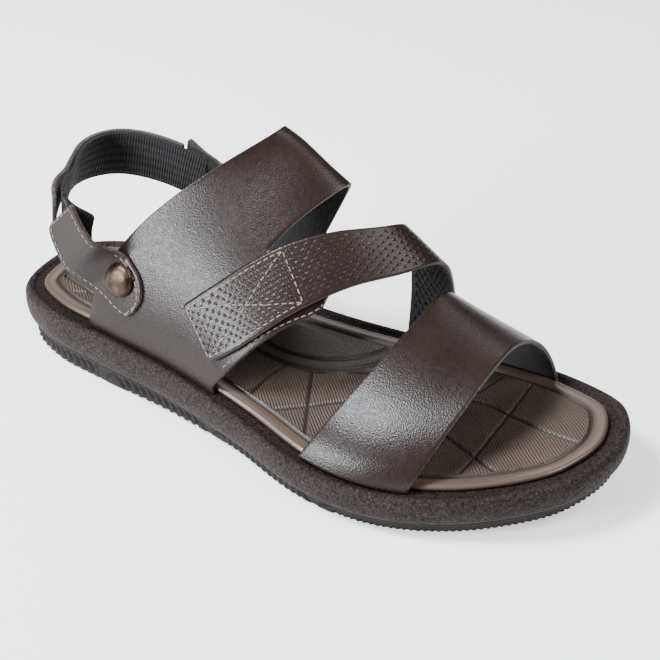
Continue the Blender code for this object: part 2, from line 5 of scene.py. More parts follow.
import bmesh
import bpy
import numpy as np
from bpy.props import FloatProperty, FloatVectorProperty, PointerProperty
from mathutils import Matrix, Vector


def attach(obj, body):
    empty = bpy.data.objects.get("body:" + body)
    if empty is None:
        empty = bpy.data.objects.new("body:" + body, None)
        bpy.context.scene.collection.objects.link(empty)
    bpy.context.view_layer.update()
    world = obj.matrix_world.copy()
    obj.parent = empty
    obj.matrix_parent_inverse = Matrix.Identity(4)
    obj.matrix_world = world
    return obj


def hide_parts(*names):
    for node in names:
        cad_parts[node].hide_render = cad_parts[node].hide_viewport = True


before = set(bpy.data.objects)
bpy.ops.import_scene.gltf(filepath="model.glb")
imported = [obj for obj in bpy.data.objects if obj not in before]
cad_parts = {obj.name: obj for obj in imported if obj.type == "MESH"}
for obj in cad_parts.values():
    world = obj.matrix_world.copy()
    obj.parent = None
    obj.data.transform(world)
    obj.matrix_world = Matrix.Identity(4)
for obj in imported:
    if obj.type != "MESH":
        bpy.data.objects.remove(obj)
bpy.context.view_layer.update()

bl_info = {
    "name": "Flat sandal",
    "version": (1, 0, 0),
    "blender": (4, 5, 0),
    "location": "View3D > Sidebar > Sandal",
    "description": "Builds the visual model of a right-foot flat sandal over its packed frame",
    "category": "Add Mesh",
}

MM = 0.001

# Fineness of the meshes
OUTLINE_STEPS = 64
OUTSOLE_COLUMNS = 560
OUTSOLE_TREAD_COLUMNS = 70
MIDSOLE_COLUMNS = 260
FOOTBED_COLUMNS = 420
FOOTBED_INNER_COLUMNS = 120
LAST_NUMBERS = 170
LAST_ROUNDS = 80

# Outline of the sole, heel to toe: outer and inner half width as shares of the ball width
Outline = namedtuple("Outline", "along outer inner")
OUTLINE = [
    Outline(0.020, 0.209, -0.178),
    Outline(0.100, 0.317, -0.301),
    Outline(0.207, 0.353, -0.328),
    Outline(0.345, 0.382, -0.323),
    Outline(0.480, 0.445, -0.352),
    Outline(0.610, 0.533, -0.405),
    Outline(0.725, 0.533, -0.452),
    Outline(0.840, 0.432, -0.443),
    Outline(0.940, 0.259, -0.355),
    Outline(0.982, 0.112, -0.240),
]
HEEL_TIP = (0.008, 0.0007)
TOE_TIP = (-0.060, 0.9995)

# Sections of the last, as in the solid model: places as shares of the sole's length, height as a
# share of the strap's height, full for how square a side is, lean for how late it sweeps forward
Section = namedtuple(
    "Section",
    "outer_along inner_along crown_along crown_across height "
    "outer_full inner_full outer_lean inner_lean",
)
INSTEP_SECTIONS = (
    Section(0.179, 0.180, 0.418, 0.96, 1.025, 1.42, 3.6, 2.0, 1.2),
    Section(0.428, 0.400, 0.523, 0.96, 0.845, 1.45, 3.6, 4.0, 1.0),
    Section(0.530, 0.686, 0.668, 0.80, 0.550, 1.50, 2.4, 2.0, 1.0),
)
TOE_SECTIONS = (
    Section(0.603, 0.708, 0.680, 0.76, 1.000, 1.50, 2.3, 1.0, 1.0),
    Section(0.768, 0.848, 0.815, 0.58, 0.830, 1.50, 2.1, 1.0, 1.0),
)

# Rows of a strap over the last: section number and way round of its back and front edge, and lift
Row = namedtuple("Row", "back_section back_round front_section front_round lift")
FORK_ROWS = [
    Row(1.00, 0.590, 1.00, 0.030, 0.0),
    Row(1.20, 0.660, 1.25, 0.200, 0.0),
    Row(1.42, 0.660, 1.50, 0.350, 0.0),
    Row(1.60, 0.640, 1.68, 0.475, 0.0),
    Row(1.66, 0.620, 1.72, 0.550, 0.0),
]
CLOSURE_ROWS = [
    Row(0.63, 0.250, 0.97, 0.125, 1.0),
    Row(0.83, 0.400, 1.25, 0.250, 1.0),
    Row(0.97, 0.525, 1.46, 0.375, 1.0),
    Row(1.10, 0.650, 1.63, 0.525, 1.0),
    Row(1.29, 0.800, 1.76, 0.700, 1.0),
    Row(1.53, 0.980, 1.90, 0.900, 0.7),
    Row(1.65, 1.200, 1.99, 1.150, 0.3),
    Row(1.71, 1.550, 2.00, 1.550, 0.1),
    Row(1.735, 2.000, 2.00, 2.000, 0.0),
]
PATCH_SHARE = 0.375
PATCH_MARGIN = 0.1

# Rows of the heel strap's middle line, as in the solid model
PathRow = namedtuple("PathRow", "across along height lean lift")
HEEL_PATH = [
    PathRow(0.215, 0.1960, 0.826, 0.00, 0.0),
    PathRow(0.250, 0.1734, 0.895, 0.00, 0.0),
    PathRow(0.262, 0.1510, 0.985, 0.04, 1.0),
    PathRow(0.218, 0.1330, 1.008, 0.12, 1.0),
    PathRow(0.125, 0.1110, 0.998, 0.30, 0.7),
    PathRow(0.036, 0.0880, 0.994, 0.35, 0.2),
    PathRow(-0.060, 0.0715, 0.994, 0.35, 0.0),
    PathRow(-0.147, 0.0750, 0.994, 0.25, 0.0),
    PathRow(-0.214, 0.0945, 0.994, 0.15, 0.0),
    PathRow(-0.247, 0.1276, 0.994, 0.08, 0.0),
    PathRow(-0.255, 0.1724, 0.992, 0.06, 0.0),
    PathRow(-0.250, 0.2180, 0.982, 0.05, 0.0),
    PathRow(-0.248, 0.2580, 0.962, 0.05, 0.0),
]
HEEL_LEATHER_START = 0.195
HEEL_LEATHER_END = 0.90

RivetPlace = namedtuple("RivetPlace", "side section around rise")
RIVETS = [
    RivetPlace("outer", 0.155, 0.212, 43.8),
    RivetPlace("inner", 0.30, 1.50, 10.0),
]
TabRow = namedtuple("TabRow", "back upper lower")
TAB_ROWS = [
    TabRow(-0.280, -0.06, -0.20),
    TabRow(-0.255, 0.11, -0.28),
    TabRow(-0.205, 0.22, -0.34),
    TabRow(-0.130, 0.29, -0.40),
    TabRow(-0.050, 0.31, -0.45),
    TabRow(0.040, 0.29, -0.52),
    TabRow(0.120, 0.27, -0.60),
    TabRow(0.200, 0.27, -0.645),
    TabRow(0.300, 0.30, -0.635),
    TabRow(0.400, 0.36, -0.575),
    TabRow(0.490, 0.40, -0.505),
    TabRow(0.590, 0.44, -0.42),
    TabRow(0.690, 0.51, -0.32),
    TabRow(0.750, 0.55, -0.22),
    TabRow(0.775, 0.52, -0.10),
]
TAB_PLANE = 0.2960
TAB_LIFT_OFF = 0.09
TAB_LIFT_SPAN = 0.36

# Side of the outsole, as shares of the length from the heel: what each stretch carries
SIDE_ZONES = [
    (0.000, 0.197, "chevron"),
    (0.197, 0.252, "wave"),
    (0.252, 0.407, "chevron"),
    (0.407, 0.459, "wave"),
    (0.459, 0.617, "rib"),
    (0.617, 0.669, "wave"),
    (0.669, 1.000, "toe"),
]

# Footbed: grooves in millimetres from the heel tip, across towards the outer side and along
PANEL_EDGE = [
    (4.0, 0.0), (6.0, 12.0), (9.9, 20.2), (12.2, 29.4), (15.0, 40.7), (18.0, 60.0), (17.0, 85.0),
    (12.0, 108.0), (7.4, 127.0), (8.5, 139.6), (4.9, 154.3), (-3.1, 165.8), (-9.0, 180.0),
    (-9.0, 198.0), (-11.0, 212.0), (-16.3, 218.4), (-37.8, 225.3), (-60.0, 230.0),
]
PANEL_GROOVES = [
    [(21.5, 24.0), (19.9, 27.1), (15.2, 35.8), (13.0, 41.0)],
    [(27.0, 33.0), (24.6, 37.5), (22.2, 43.8), (17.5, 58.0)],
    [(33.0, 60.0), (26.0, 72.0), (17.0, 84.0)],
    [(36.0, 84.0), (26.0, 96.0), (12.0, 108.0)],
    [(38.0, 113.0), (17.0, 120.0), (7.0, 127.0)],
    [(7.4, 140.0), (20.0, 138.0), (40.0, 138.3)],
    [(0.0, 148.5), (5.2, 151.4), (24.0, 161.0), (46.0, 172.5)],
    [
        (42.0, 146.0), (39.7, 148.4), (28.0, 161.0), (16.9, 172.5), (4.0, 188.0), (-9.0, 205.0),
        (-13.4, 223.6), (-10.7, 237.7), (-6.0, 256.0), (-2.0, 275.0),
    ],
    [(-9.0, 182.0), (2.0, 197.0), (12.1, 217.6), (21.3, 237.5), (30.0, 258.0)],
    [(-46.0, 239.0), (-35.5, 238.1), (-10.9, 238.1), (21.3, 237.5), (45.0, 236.0)],
]
FAN_CENTRE = (-40.0, 132.0)
FAN_RADII = (41.5, 48.0)


def float_size(label, text, size):
    """A length that a user may change, in metres."""
    return FloatProperty(name=label, description=text, default=size, min=0.0, unit="LENGTH")


def colour(label, text, value):
    return FloatVectorProperty(
        name=label, description=text, default=value, subtype="COLOR", size=3, min=0.0, max=1.0
    )


class SandalSizes(bpy.types.PropertyGroup):
    sole_length: float_size("Sole length", "Length of the sole over all", 290 * MM)
    ball_width: float_size("Ball width", "Width of the sole that its outline is drawn to", 116 * MM)
    heel_height: float_size("Heel height", "Height of the sole's rim at the heel", 28 * MM)
    ball_height: float_size("Ball height", "Height of the sole's rim at the ball", 18.6 * MM)
    toe_spring: float_size("Toe spring", "Rise of the toe above the ground", 11 * MM)
    arch_relief: float_size("Arch relief", "Rise of the underside under the arch", 1.2 * MM)
    outsole_heel: float_size("Outsole at heel", "Thickness of the outsole at the heel", 11.5 * MM)
    outsole_ball: float_size("Outsole at ball", "Thickness of the outsole at the ball", 6 * MM)
    lug_depth: float_size("Lug depth", "Depth between the side lugs", 0.9 * MM)
    lug_pitch: float_size("Lug pitch", "Distance from one side lug to the next", 4.5 * MM)
    brim_width: float_size("Brim width", "Width of the midsole's brim round the footbed", 9 * MM)
    bead_width: float_size("Bead width", "Width of the footbed's rounded edge", 6.5 * MM)
    bead_height: float_size("Bead height", "Height of the footbed's rounded edge", 2.6 * MM)
    groove_width: float_size("Groove width", "Width of the footbed's grooves", 1.5 * MM)
    groove_depth: float_size("Groove depth", "Depth of the footbed's grooves", 0.9 * MM)
    rib_pitch: float_size("Rib pitch", "Distance from one footbed rib to the next", 1.25 * MM)
    instep_height: float_size("Instep height", "Height of the instep band above the rim", 93 * MM)
    toe_strap_height: float_size("Front strap height", "Height of the front strap", 40 * MM)
    leather: float_size("Leather", "Thickness of the strap leather", 2 * MM)
    heel_strap_width: float_size("Heel strap width", "Width of the heel strap", 23 * MM)
    heel_strap_height: float_size("Heel strap height", "Height of its middle line", 80 * MM)
    webbing: float_size("Webbing", "Thickness of the woven strap", 1.5 * MM)
    tab_width: float_size("Tab width", "Width that the tab's outline is drawn to", 27 * MM)
    tab_length: float_size("Tab length", "Length that the tab's outline is drawn to", 50 * MM)
    tab_leather: float_size("Tab leather", "Thickness of a tab's two layers", 1.8 * MM)
    rivet_radius: float_size("Rivet radius", "Radius of a rivet's cap", 7.4 * MM)
    dimple_pitch: float_size("Dimple pitch", "Distance between rows of punched dimples", 2.15 * MM)
    dimple_radius: float_size("Dimple radius", "Radius of a punched dimple", 0.80 * MM)
    stitch_length: float_size("Stitch length", "Length of one stitch", 2.3 * MM)
    stitch_gap: float_size("Stitch gap", "Gap between stitches", 0.8 * MM)
    thread_radius: float_size("Thread radius", "Radius of the sewing thread", 0.21 * MM)


class SandalColours(bpy.types.PropertyGroup):
    leather: colour("Leather", "Smooth strap leather", (0.0150, 0.0085, 0.0070))
    raw_edge: colour("Raw edge", "Cut edge of the leather", (0.075, 0.052, 0.041))
    lining: colour("Lining", "Suede inside of the straps", (0.010, 0.009, 0.009))
    rubber: colour("Rubber", "Outsole", (0.0085, 0.0060, 0.0054))
    foam: colour("Foam", "Midsole", (0.0170, 0.0110, 0.0096))
    insole: colour("Insole", "Ribbed panels of the footbed", (0.072, 0.050, 0.038))
    bead: colour("Bead", "Rounded edge of the footbed", (0.078, 0.054, 0.041))
    webbing: colour("Webbing", "Woven heel strap", (0.008, 0.0055, 0.0062))
    thread: colour("Thread", "Sewing thread", (0.27, 0.22, 0.185))
    bronze: colour("Bronze", "Rivet caps", (0.060, 0.038, 0.028))
    floor: colour("Floor", "Studio floor", (0.90, 0.90, 0.90))


def sizes():
    return bpy.context.scene.sandal_sizes


def colours():
    return bpy.context.scene.sandal_colours


# Materials


class Shader:
    """A material's node tree, with short ways to add nodes and links."""

    def __init__(self, name):
        self.item = bpy.data.materials.new(name)
        self.item.use_nodes = True
        self.tree = self.item.node_tree
        self.main = self.tree.nodes["Principled BSDF"]
        self.place = self.add("ShaderNodeTexCoord").outputs["Object"]

    def add(self, kind, values=None, links=None, **settings):
        node = self.tree.nodes.new(kind)
        for key, value in settings.items():
            setattr(node, key, value)
        for key, value in (values or {}).items():
            node.inputs[key].default_value = value
        for key, source in (links or {}).items():
            self.tree.links.new(source, node.inputs[key])
        return node

    def put(self, socket, source):
        if isinstance(source, bpy.types.NodeSocket):
            self.tree.links.new(source, self.main.inputs[socket])
        else:
            self.main.inputs[socket].default_value = source

    def noise(self, scale, detail=3.0, roughness=0.55, place=None):
        values = {"Scale": scale, "Detail": detail, "Roughness": roughness}
        links = {"Vector": place or self.place}
        return self.add("ShaderNodeTexNoise", values, links).outputs["Fac"]

    def cells(self, scale, feature="F1", place=None):
        links = {"Vector": place or self.place}
        node = self.add("ShaderNodeTexVoronoi", {"Scale": scale}, links, feature=feature)
        return node.outputs["Distance"]

    def math(self, operation, first, second=0.5, third=None):
        node = self.add("ShaderNodeMath", operation=operation)
        for index, value in enumerate((first, second, third)):
            if value is None:
                continue
            if isinstance(value, bpy.types.NodeSocket):
                self.tree.links.new(value, node.inputs[index])
            else:
                node.inputs[index].default_value = value
        return node.outputs[0]

    def ramp(self, source, low, high, start=0.0, end=1.0):
        node = self.add(
            "ShaderNodeMapRange",
            {"From Min": low, "From Max": high, "To Min": start, "To Max": end},
            {"Value": source},
            interpolation_type="SMOOTHSTEP",
        )
        return node.outputs["Result"]

    def mix(self, factor, first, second):
        """Colour between two colours, each a socket or three numbers."""
        node = self.add("ShaderNodeMix", data_type="RGBA")
        for socket, value in ((node.inputs[0], factor), (node.inputs[6], first), (node.inputs[7], second)):
            if isinstance(value, bpy.types.NodeSocket):
                self.tree.links.new(value, socket)
            elif isinstance(value, float):
                socket.default_value = value
            else:
                socket.default_value = (*value, 1.0)
        return node.outputs[2]

    def bump(self, height, distance, strength=1.0, after=None):
        links = {"Height": height}
        if after:
            links["Normal"] = after
        values = {"Distance": distance, "Strength": strength}
        return self.add("ShaderNodeBump", values, links).outputs["Normal"]

    def attribute(self, name):
        node = self.add("ShaderNodeAttribute", attribute_name=name)
        return node.outputs["Fac"]


def shade(base, factor):
    return tuple(min(1.0, value * factor) for value in base)


@lru_cache(maxsize=None)
def leather_finish():
    """Smooth, semi-gloss leather with a fine grain and slow changes of tone."""
    base = tuple(colours().leather)
    kit = Shader("leather")
    tone = kit.noise(38.0, 4.0)
    fleck = kit.noise(900.0, 2.0)
    body = kit.mix(kit.ramp(tone, 0.3, 0.7), shade(base, 0.85), shade(base, 1.2))
    kit.put("Base Color", kit.mix(kit.ramp(fleck, 0.62, 0.75, 0.0, 0.35), body, shade(base, 2.6)))
    kit.put("Roughness", kit.ramp(kit.noise(420.0, 3.0), 0.3, 0.7, 0.27, 0.34))
    grain = kit.bump(kit.cells(1500.0), 0.00009, 0.7)
    creases = kit.bump(kit.noise(900.0, 3.0), 0.00008, 0.4, grain)
    kit.put("Normal", kit.bump(kit.noise(45.0, 2.0), 0.0004, 0.08, creases))
    kit.put("Specular IOR Level", 0.24)
    return kit.item


@lru_cache(maxsize=None)
def lining_finish():
    """Suede side of the leather."""
    base = tuple(colours().lining)
    kit = Shader("suede_lining")
    nap = kit.noise(1400.0, 3.0)
    kit.put("Base Color", kit.mix(kit.ramp(nap, 0.35, 0.7), shade(base, 0.6), shade(base, 2.2)))
    kit.put("Roughness", 0.92)
    kit.put("Normal", kit.bump(nap, 0.0003, 0.7))
    kit.put("Sheen Weight", 0.25)
    return kit.item


@lru_cache(maxsize=None)
def edge_finish():
    """Cut edge of the leather, paler where it is worn."""
    base = tuple(colours().raw_edge)
    kit = Shader("leather_edge")
    fibre = kit.noise(700.0, 4.0)
    kit.put("Base Color", kit.mix(kit.ramp(fibre, 0.35, 0.7), shade(base, 0.35), shade(base, 1.35)))
    kit.put("Roughness", kit.ramp(fibre, 0.3, 0.7, 0.55, 0.8))
    kit.put("Normal", kit.bump(fibre, 0.0002, 0.5))
    return kit.item


@lru_cache(maxsize=None)
def rubber_finish():
    base = tuple(colours().rubber)
    kit = Shader("rubber")
    tone = kit.noise(60.0, 4.0)
    dust = kit.noise(1100.0, 3.0)
    body = kit.mix(kit.ramp(tone, 0.3, 0.7), shade(base, 0.75), shade(base, 1.3))
    kit.put("Base Color", kit.mix(kit.ramp(dust, 0.55, 0.75, 0.0, 0.4), body, shade(base, 2.2)))
    kit.put("Roughness", kit.ramp(dust, 0.3, 0.7, 0.55, 0.75))
    kit.put("Specular IOR Level", 0.18)
    kit.put("Normal", kit.bump(dust, 0.00012, 0.5))
    return kit.item


@lru_cache(maxsize=None)
def foam_finish():
    """Pebble-grained foam, with glint speckles painted into its colour as painted highlights."""
    base = tuple(colours().foam)
    kit = Shader("foam")
    pebbles = kit.cells(820.0)
    glints = kit.noise(1700.0, 2.0)
    tone = kit.noise(45.0, 3.0)
    body = kit.mix(kit.ramp(tone, 0.3, 0.7), shade(base, 0.85), shade(base, 1.2))
    # Painted highlights: glint speckles lighten the base colour up to four times.
    lit = kit.mix(kit.ramp(glints, 0.54, 0.70, 0.0, 0.85), body, shade(base, 4.0))
    dark = kit.mix(kit.ramp(pebbles, 0.42, 0.85, 0.0, 0.85), lit, shade(base, 0.22))
    kit.put("Base Color", dark)
    kit.put("Roughness", kit.ramp(glints, 0.3, 0.7, 0.80, 0.60))
    kit.put("Specular IOR Level", 0.15)
    low = kit.bump(pebbles, 0.00040, 0.8)
    kit.put("Normal", kit.bump(glints, 0.00022, 0.6, low))
    return kit.item


@lru_cache(maxsize=None)
def footbed_finish():
    """Moulded footbed: a shiny bead, ribbed panels and a pebbled arch, from the mesh's own masks. The
    grooves, the rib troughs and the channel by the bead are darkened as painted shade.
    """
    kit = Shader("footbed")
    panel = tuple(colours().insole)
    bead = tuple(colours().bead)
    ribbed = kit.attribute("ribs")
    edge = kit.attribute("bead")
    painted_groove_shade = kit.attribute("groove_and_shade")
    turned = kit.add(
        "ShaderNodeMapping",
        {"Rotation": (0.0, 0.0, math.radians(45))},
        {"Vector": kit.place},
    ).outputs["Vector"]
    pitch = sizes().rib_pitch
    parts = kit.add("ShaderNodeSeparateXYZ", None, {"Vector": turned})
    wobble = kit.noise(70.0, 1.0)
    across = kit.math("ADD", parts.outputs["X"], kit.math("MULTIPLY", wobble, 0.0012))
    waves = kit.math("SINE", kit.math("MULTIPLY", across, 2 * math.pi / pitch))
    beads = kit.math("SINE", kit.math("MULTIPLY", parts.outputs["Y"], 2 * math.pi / (pitch * 1.15)))
    ribs = kit.math("ADD", waves, kit.math("MULTIPLY", beads, 0.18))
    ribs = kit.math("MULTIPLY", ribs, ribbed)
    tone = kit.noise(40.0, 3.0)
    body = kit.mix(kit.ramp(tone, 0.3, 0.7), shade(panel, 0.85), shade(panel, 1.2))
    # Painted shade: the troughs between the ribs are darkened and the crests keep the body colour.
    ribs_with_painted_shade = kit.mix(kit.ramp(ribs, -0.9, 0.6, 0.55, 0.0), body, shade(panel, 0.42))
    pad = kit.mix(kit.ramp(ribbed, 0.2, 0.8), shade(panel, 0.55), ribs_with_painted_shade)
    raised = kit.mix(edge, pad, bead)
    # Painted shade: the grooves and the channel at the bead's foot are darkened towards a near-black panel
    # colour.
    kit.put("Base Color", kit.mix(kit.math("MULTIPLY", painted_groove_shade, 0.85), raised, shade(panel, 0.12)))
    gloss = kit.ramp(edge, 0.0, 1.0, 0.46, 0.30)
    kit.put("Roughness", gloss)
    fine = kit.bump(kit.noise(1100.0, 3.0), 0.00012, 0.35)
    smooth_parts = kit.math("ADD", kit.math("ADD", ribbed, edge), painted_groove_shade)
    pebbles = kit.math("MULTIPLY", kit.cells(900.0), kit.ramp(smooth_parts, 0.0, 0.6, 1.0, 0.0))
    rough = kit.bump(pebbles, 0.0003, 0.8, fine)
    kit.put("Normal", kit.bump(ribs, 0.00016, 0.9, rough))
    kit.put("Specular IOR Level", 0.5)
    return kit.item


@lru_cache(maxsize=None)
def webbing_finish():
    """Twill weave drawn in the strap's own length and width."""
    base = tuple(colours().webbing)
    kit = Shader("webbing")
    flat = kit.add("ShaderNodeUVMap", uv_map="weave").outputs["UV"]
    parts = kit.add("ShaderNodeSeparateXYZ", None, {"Vector": flat})
    along, across = parts.outputs["X"], parts.outputs["Y"]
    slant = kit.math("ADD", along, kit.math("MULTIPLY", across, 0.8))
    yarn = kit.math("SINE", kit.math("MULTIPLY", slant, 2 * math.pi / 0.0014))
    weft = kit.math("SINE", kit.math("MULTIPLY", across, 2 * math.pi / 0.0010))
    weave = kit.math("ADD", kit.math("MULTIPLY", yarn, 0.7), kit.math("MULTIPLY", weft, 0.7))
    fuzz = kit.noise(1500.0, 3.0)
    lit = kit.mix(kit.ramp(weave, -1.1, 1.2), shade(base, 0.4), shade(base, 1.8))
    kit.put("Base Color", kit.mix(kit.ramp(fuzz, 0.55, 0.75, 0.0, 0.35), lit, shade(base, 3.2)))
    kit.put("Roughness", 0.82)
    low = kit.bump(weave, 0.0003, 0.9)
    kit.put("Normal", kit.bump(fuzz, 0.0002, 0.5, low))
    kit.put("Sheen Weight", 0.06)
    kit.put("Specular IOR Level", 0.2)
    return kit.item


@lru_cache(maxsize=None)
def thread_finish():
    base = tuple(colours().thread)
    kit = Shader("thread")
    ply = kit.noise(2600.0, 2.0)
    kit.put("Base Color", kit.mix(kit.ramp(ply, 0.35, 0.7), shade(base, 0.5), shade(base, 1.15)))
    kit.put("Roughness", 0.7)
    kit.put("Normal", kit.bump(ply, 0.0001, 0.5))
    return kit.item


@lru_cache(maxsize=None)
def bronze_finish():
    """Antiqued bronze: dark in its hollows, with fine scratches."""
    base = tuple(colours().bronze)
    kit = Shader("bronze")
    patina = kit.noise(260.0, 4.0)
    kit.put("Base Color", kit.mix(kit.ramp(patina, 0.35, 0.68), shade(base, 0.42), shade(base, 1.25)))
    kit.put("Metallic", 0.92)
    kit.put("Roughness", kit.ramp(kit.noise(900.0, 3.0), 0.3, 0.7, 0.30, 0.48))
    kit.put("Normal", kit.bump(patina, 0.00015, 0.35))
    return kit.item


@lru_cache(maxsize=None)
def hook_cloth_and_dimple_shade_finish():
    """Hook-and-loop cloth, also used as painted shade at the bottoms of the closure strap's dimples."""
    kit = Shader("hook_cloth_and_dimple_shade")
    loops = kit.cells(1300.0)
    kit.put("Base Color", kit.mix(kit.ramp(loops, 0.2, 0.7), (0.03, 0.028, 0.028), (0.006, 0.006, 0.006)))
    kit.put("Roughness", 0.95)
    kit.put("Normal", kit.bump(loops, 0.0005, 1.0))
    return kit.item


@lru_cache(maxsize=None)
def floor_finish():
    kit = Shader("studio_floor")
    base = tuple(colours().floor)
    kit.put("Base Color", kit.mix(kit.ramp(kit.noise(3.0, 2.0), 0.3, 0.7), shade(base, 0.985), base))
    kit.put("Roughness", 0.9)
    kit.put("Specular IOR Level", 0.1)
    kit.put("Emission Color", (1.0, 1.0, 1.0, 1.0))
    kit.put("Emission Strength", 0.85)
    return kit.item


# Mesh building


def build_mesh(name, points, faces, finishes, slots=None):
    """A smooth-shaded object from numpy points and faces, with a material slot for each face."""
    data = bpy.data.meshes.new(name)
    data.from_pydata([tuple(point) for point in points.tolist()], [], faces)
    for finish in finishes:
        data.materials.append(finish)
    if slots is not None:
        data.polygons.foreach_set("material_index", np.asarray(slots, dtype=np.int32))
    data.polygons.foreach_set("use_smooth", [True] * len(data.polygons))
    data.update()
    item = bpy.data.objects.new(name, data)
    bpy.context.scene.collection.objects.link(item)
    return item


def mark(item, name, values):
    """Keeps a number for each vertex, for the material to read."""
    layer = item.data.attributes.new(name, "FLOAT", "POINT")
    layer.data.foreach_set("value", np.asarray(values, dtype=np.float32))


def seat(item, slot, *nodes):
    """The piece rides on the sandal and stands for solids; the slot is not used."""
    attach(item, "root")
    if nodes:
        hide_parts(*nodes)
    return item


def smooth(share):
    share = np.clip(share, 0.0, 1.0)
    return share * share * (3 - 2 * share)


def unit(vectors):
    return vectors / np.maximum(np.linalg.norm(vectors, axis=-1, keepdims=True), 1e-12)


def catmull(before, start, end, after, share):
    bend = (2 * before - 5 * start + 4 * end - after) * share ** 2
    twist = (3 * start - before - 3 * end + after) * share ** 3
    return 0.5 * (2 * start + (end - before) * share + bend + twist)


def along_rows(rows, shares):
    """Smooth values between rows of numbers, for shares from 0 at the first to 1 at the last."""
    table = np.array(rows, dtype=float)
    place = np.clip(np.asarray(shares, dtype=float), 0.0, 1.0) * (len(table) - 1)
    start = np.minimum(place.astype(int), len(table) - 2)
    share = (place - start)[..., None]
    return catmull(
        table[np.maximum(start - 1, 0)],
        table[start],
        table[start + 1],
        table[np.minimum(start + 2, len(table) - 1)],
        share,
    )


def even(points, count):
    """The polyline again, as count + 1 points an even distance apart."""
    points = np.asarray(points, dtype=float)
    steps = np.linalg.norm(np.diff(points, axis=0), axis=1)
    reach = np.concatenate([[0.0], np.cumsum(steps)])
    wanted = np.linspace(0.0, reach[-1], count + 1)
    return np.stack([np.interp(wanted, reach, column) for column in points.T], axis=1)


def grid_faces(ids, flip=False):
    """Quads between neighbouring rows of vertex numbers."""
    a, b, c, d = ids[:-1, :-1], ids[1:, :-1], ids[1:, 1:], ids[:-1, 1:]
    order = (a, d, c, b) if flip else (a, b, c, d)
    return np.stack([part.ravel() for part in order], axis=1).tolist()


# The sole's shape


@lru_cache(maxsize=None)
def outline_loop():
    """The outline as one fine loop from the heel tip along the outer side, and its toe's number."""
    outer = [(row.outer, row.along) for row in OUTLINE]
    inner = [(row.inner, row.along) for row in reversed(OUTLINE)]
    knots = np.array([HEEL_TIP, *outer, TOE_TIP, *inner])
    knots = knots * (sizes().ball_width, sizes().sole_length)
    shares = (np.arange(OUTLINE_STEPS) / OUTLINE_STEPS)[:, None]
    pieces = []
    for index in range(len(knots)):
        four = [knots[(index + offset) % len(knots)] for offset in (-1, 0, 1, 2)]
        pieces.append(catmull(*four, shares))
    return np.concatenate(pieces), OUTLINE_STEPS * (len(OUTLINE) + 1)


@lru_cache(maxsize=None)
def outline_halves(inset):
    loop, turn = outline_loop()
    run = unit(np.roll(loop, -1, axis=0) - np.roll(loop, 1, axis=0))
    moved = loop + inset * np.stack([-run[:, 1], run[:, 0]], axis=1)
    outer = moved[: turn + 1]
    inner = np.concatenate([moved[:1], moved[turn:][::-1]])
    return outer, inner


@lru_cache(maxsize=None)
def middle():
    """What is taken off every point so that the origin lies under the middle of the sole."""
    loop, _ = outline_loop()
    low, high = loop.min(axis=0), loop.max(axis=0)
    return np.array([(low[0] + high[0]) / 2, (low[1] + high[1]) / 2, 0.0])


def ring(inset, columns):
    """Closed ring of plan points round the sole, outer side first, and their outward normals."""
    outer, inner = (even(half, columns) for half in outline_halves(round(inset, 7)))
    points = np.concatenate([outer, inner[1:-1][::-1]])
    run = unit(np.roll(points, -1, axis=0) - np.roll(points, 1, axis=0))
    return points, np.stack([run[:, 1], -run[:, 0]], axis=1)


def side_x(along, inset, outer):
    half = outline_halves(round(inset, 7))[0 if outer else 1]
    return float(np.interp(along, half[:, 1], half[:, 0]))


def spring(along):
    return sizes().toe_spring * np.maximum(0.0, (along / sizes().sole_length - 0.7) / 0.3) ** 2


def wedge(along, heel, ball):
    share = smooth((along / sizes().sole_length - 0.12) / 0.56)
    return heel + (ball - heel) * share + spring(along)


def rim_height(along):
    return wedge(along, sizes().heel_height, sizes().ball_height)


def joint_height(along):
    return wedge(along, sizes().outsole_heel, sizes().outsole_ball)


CHANNEL_DEPTH = 1.5 * MM
CLEARANCE = 0.3 * MM
STRAP_INSET = 8.1 * MM
FOOTBED_THICKNESS = 2.2 * MM
OUTSOLE_INSET = 3.6 * MM
GROOVE_INSET = 3.4 * MM


def seat_height(along):
    return rim_height(along) - CHANNEL_DEPTH


def ground_height(along):
    share = along / sizes().sole_length
    arch = np.sin(np.pi * np.clip((share - 0.36) / 0.2, 0.0, 1.0)) ** 2
    return sizes().arch_relief * arch + spring(along)


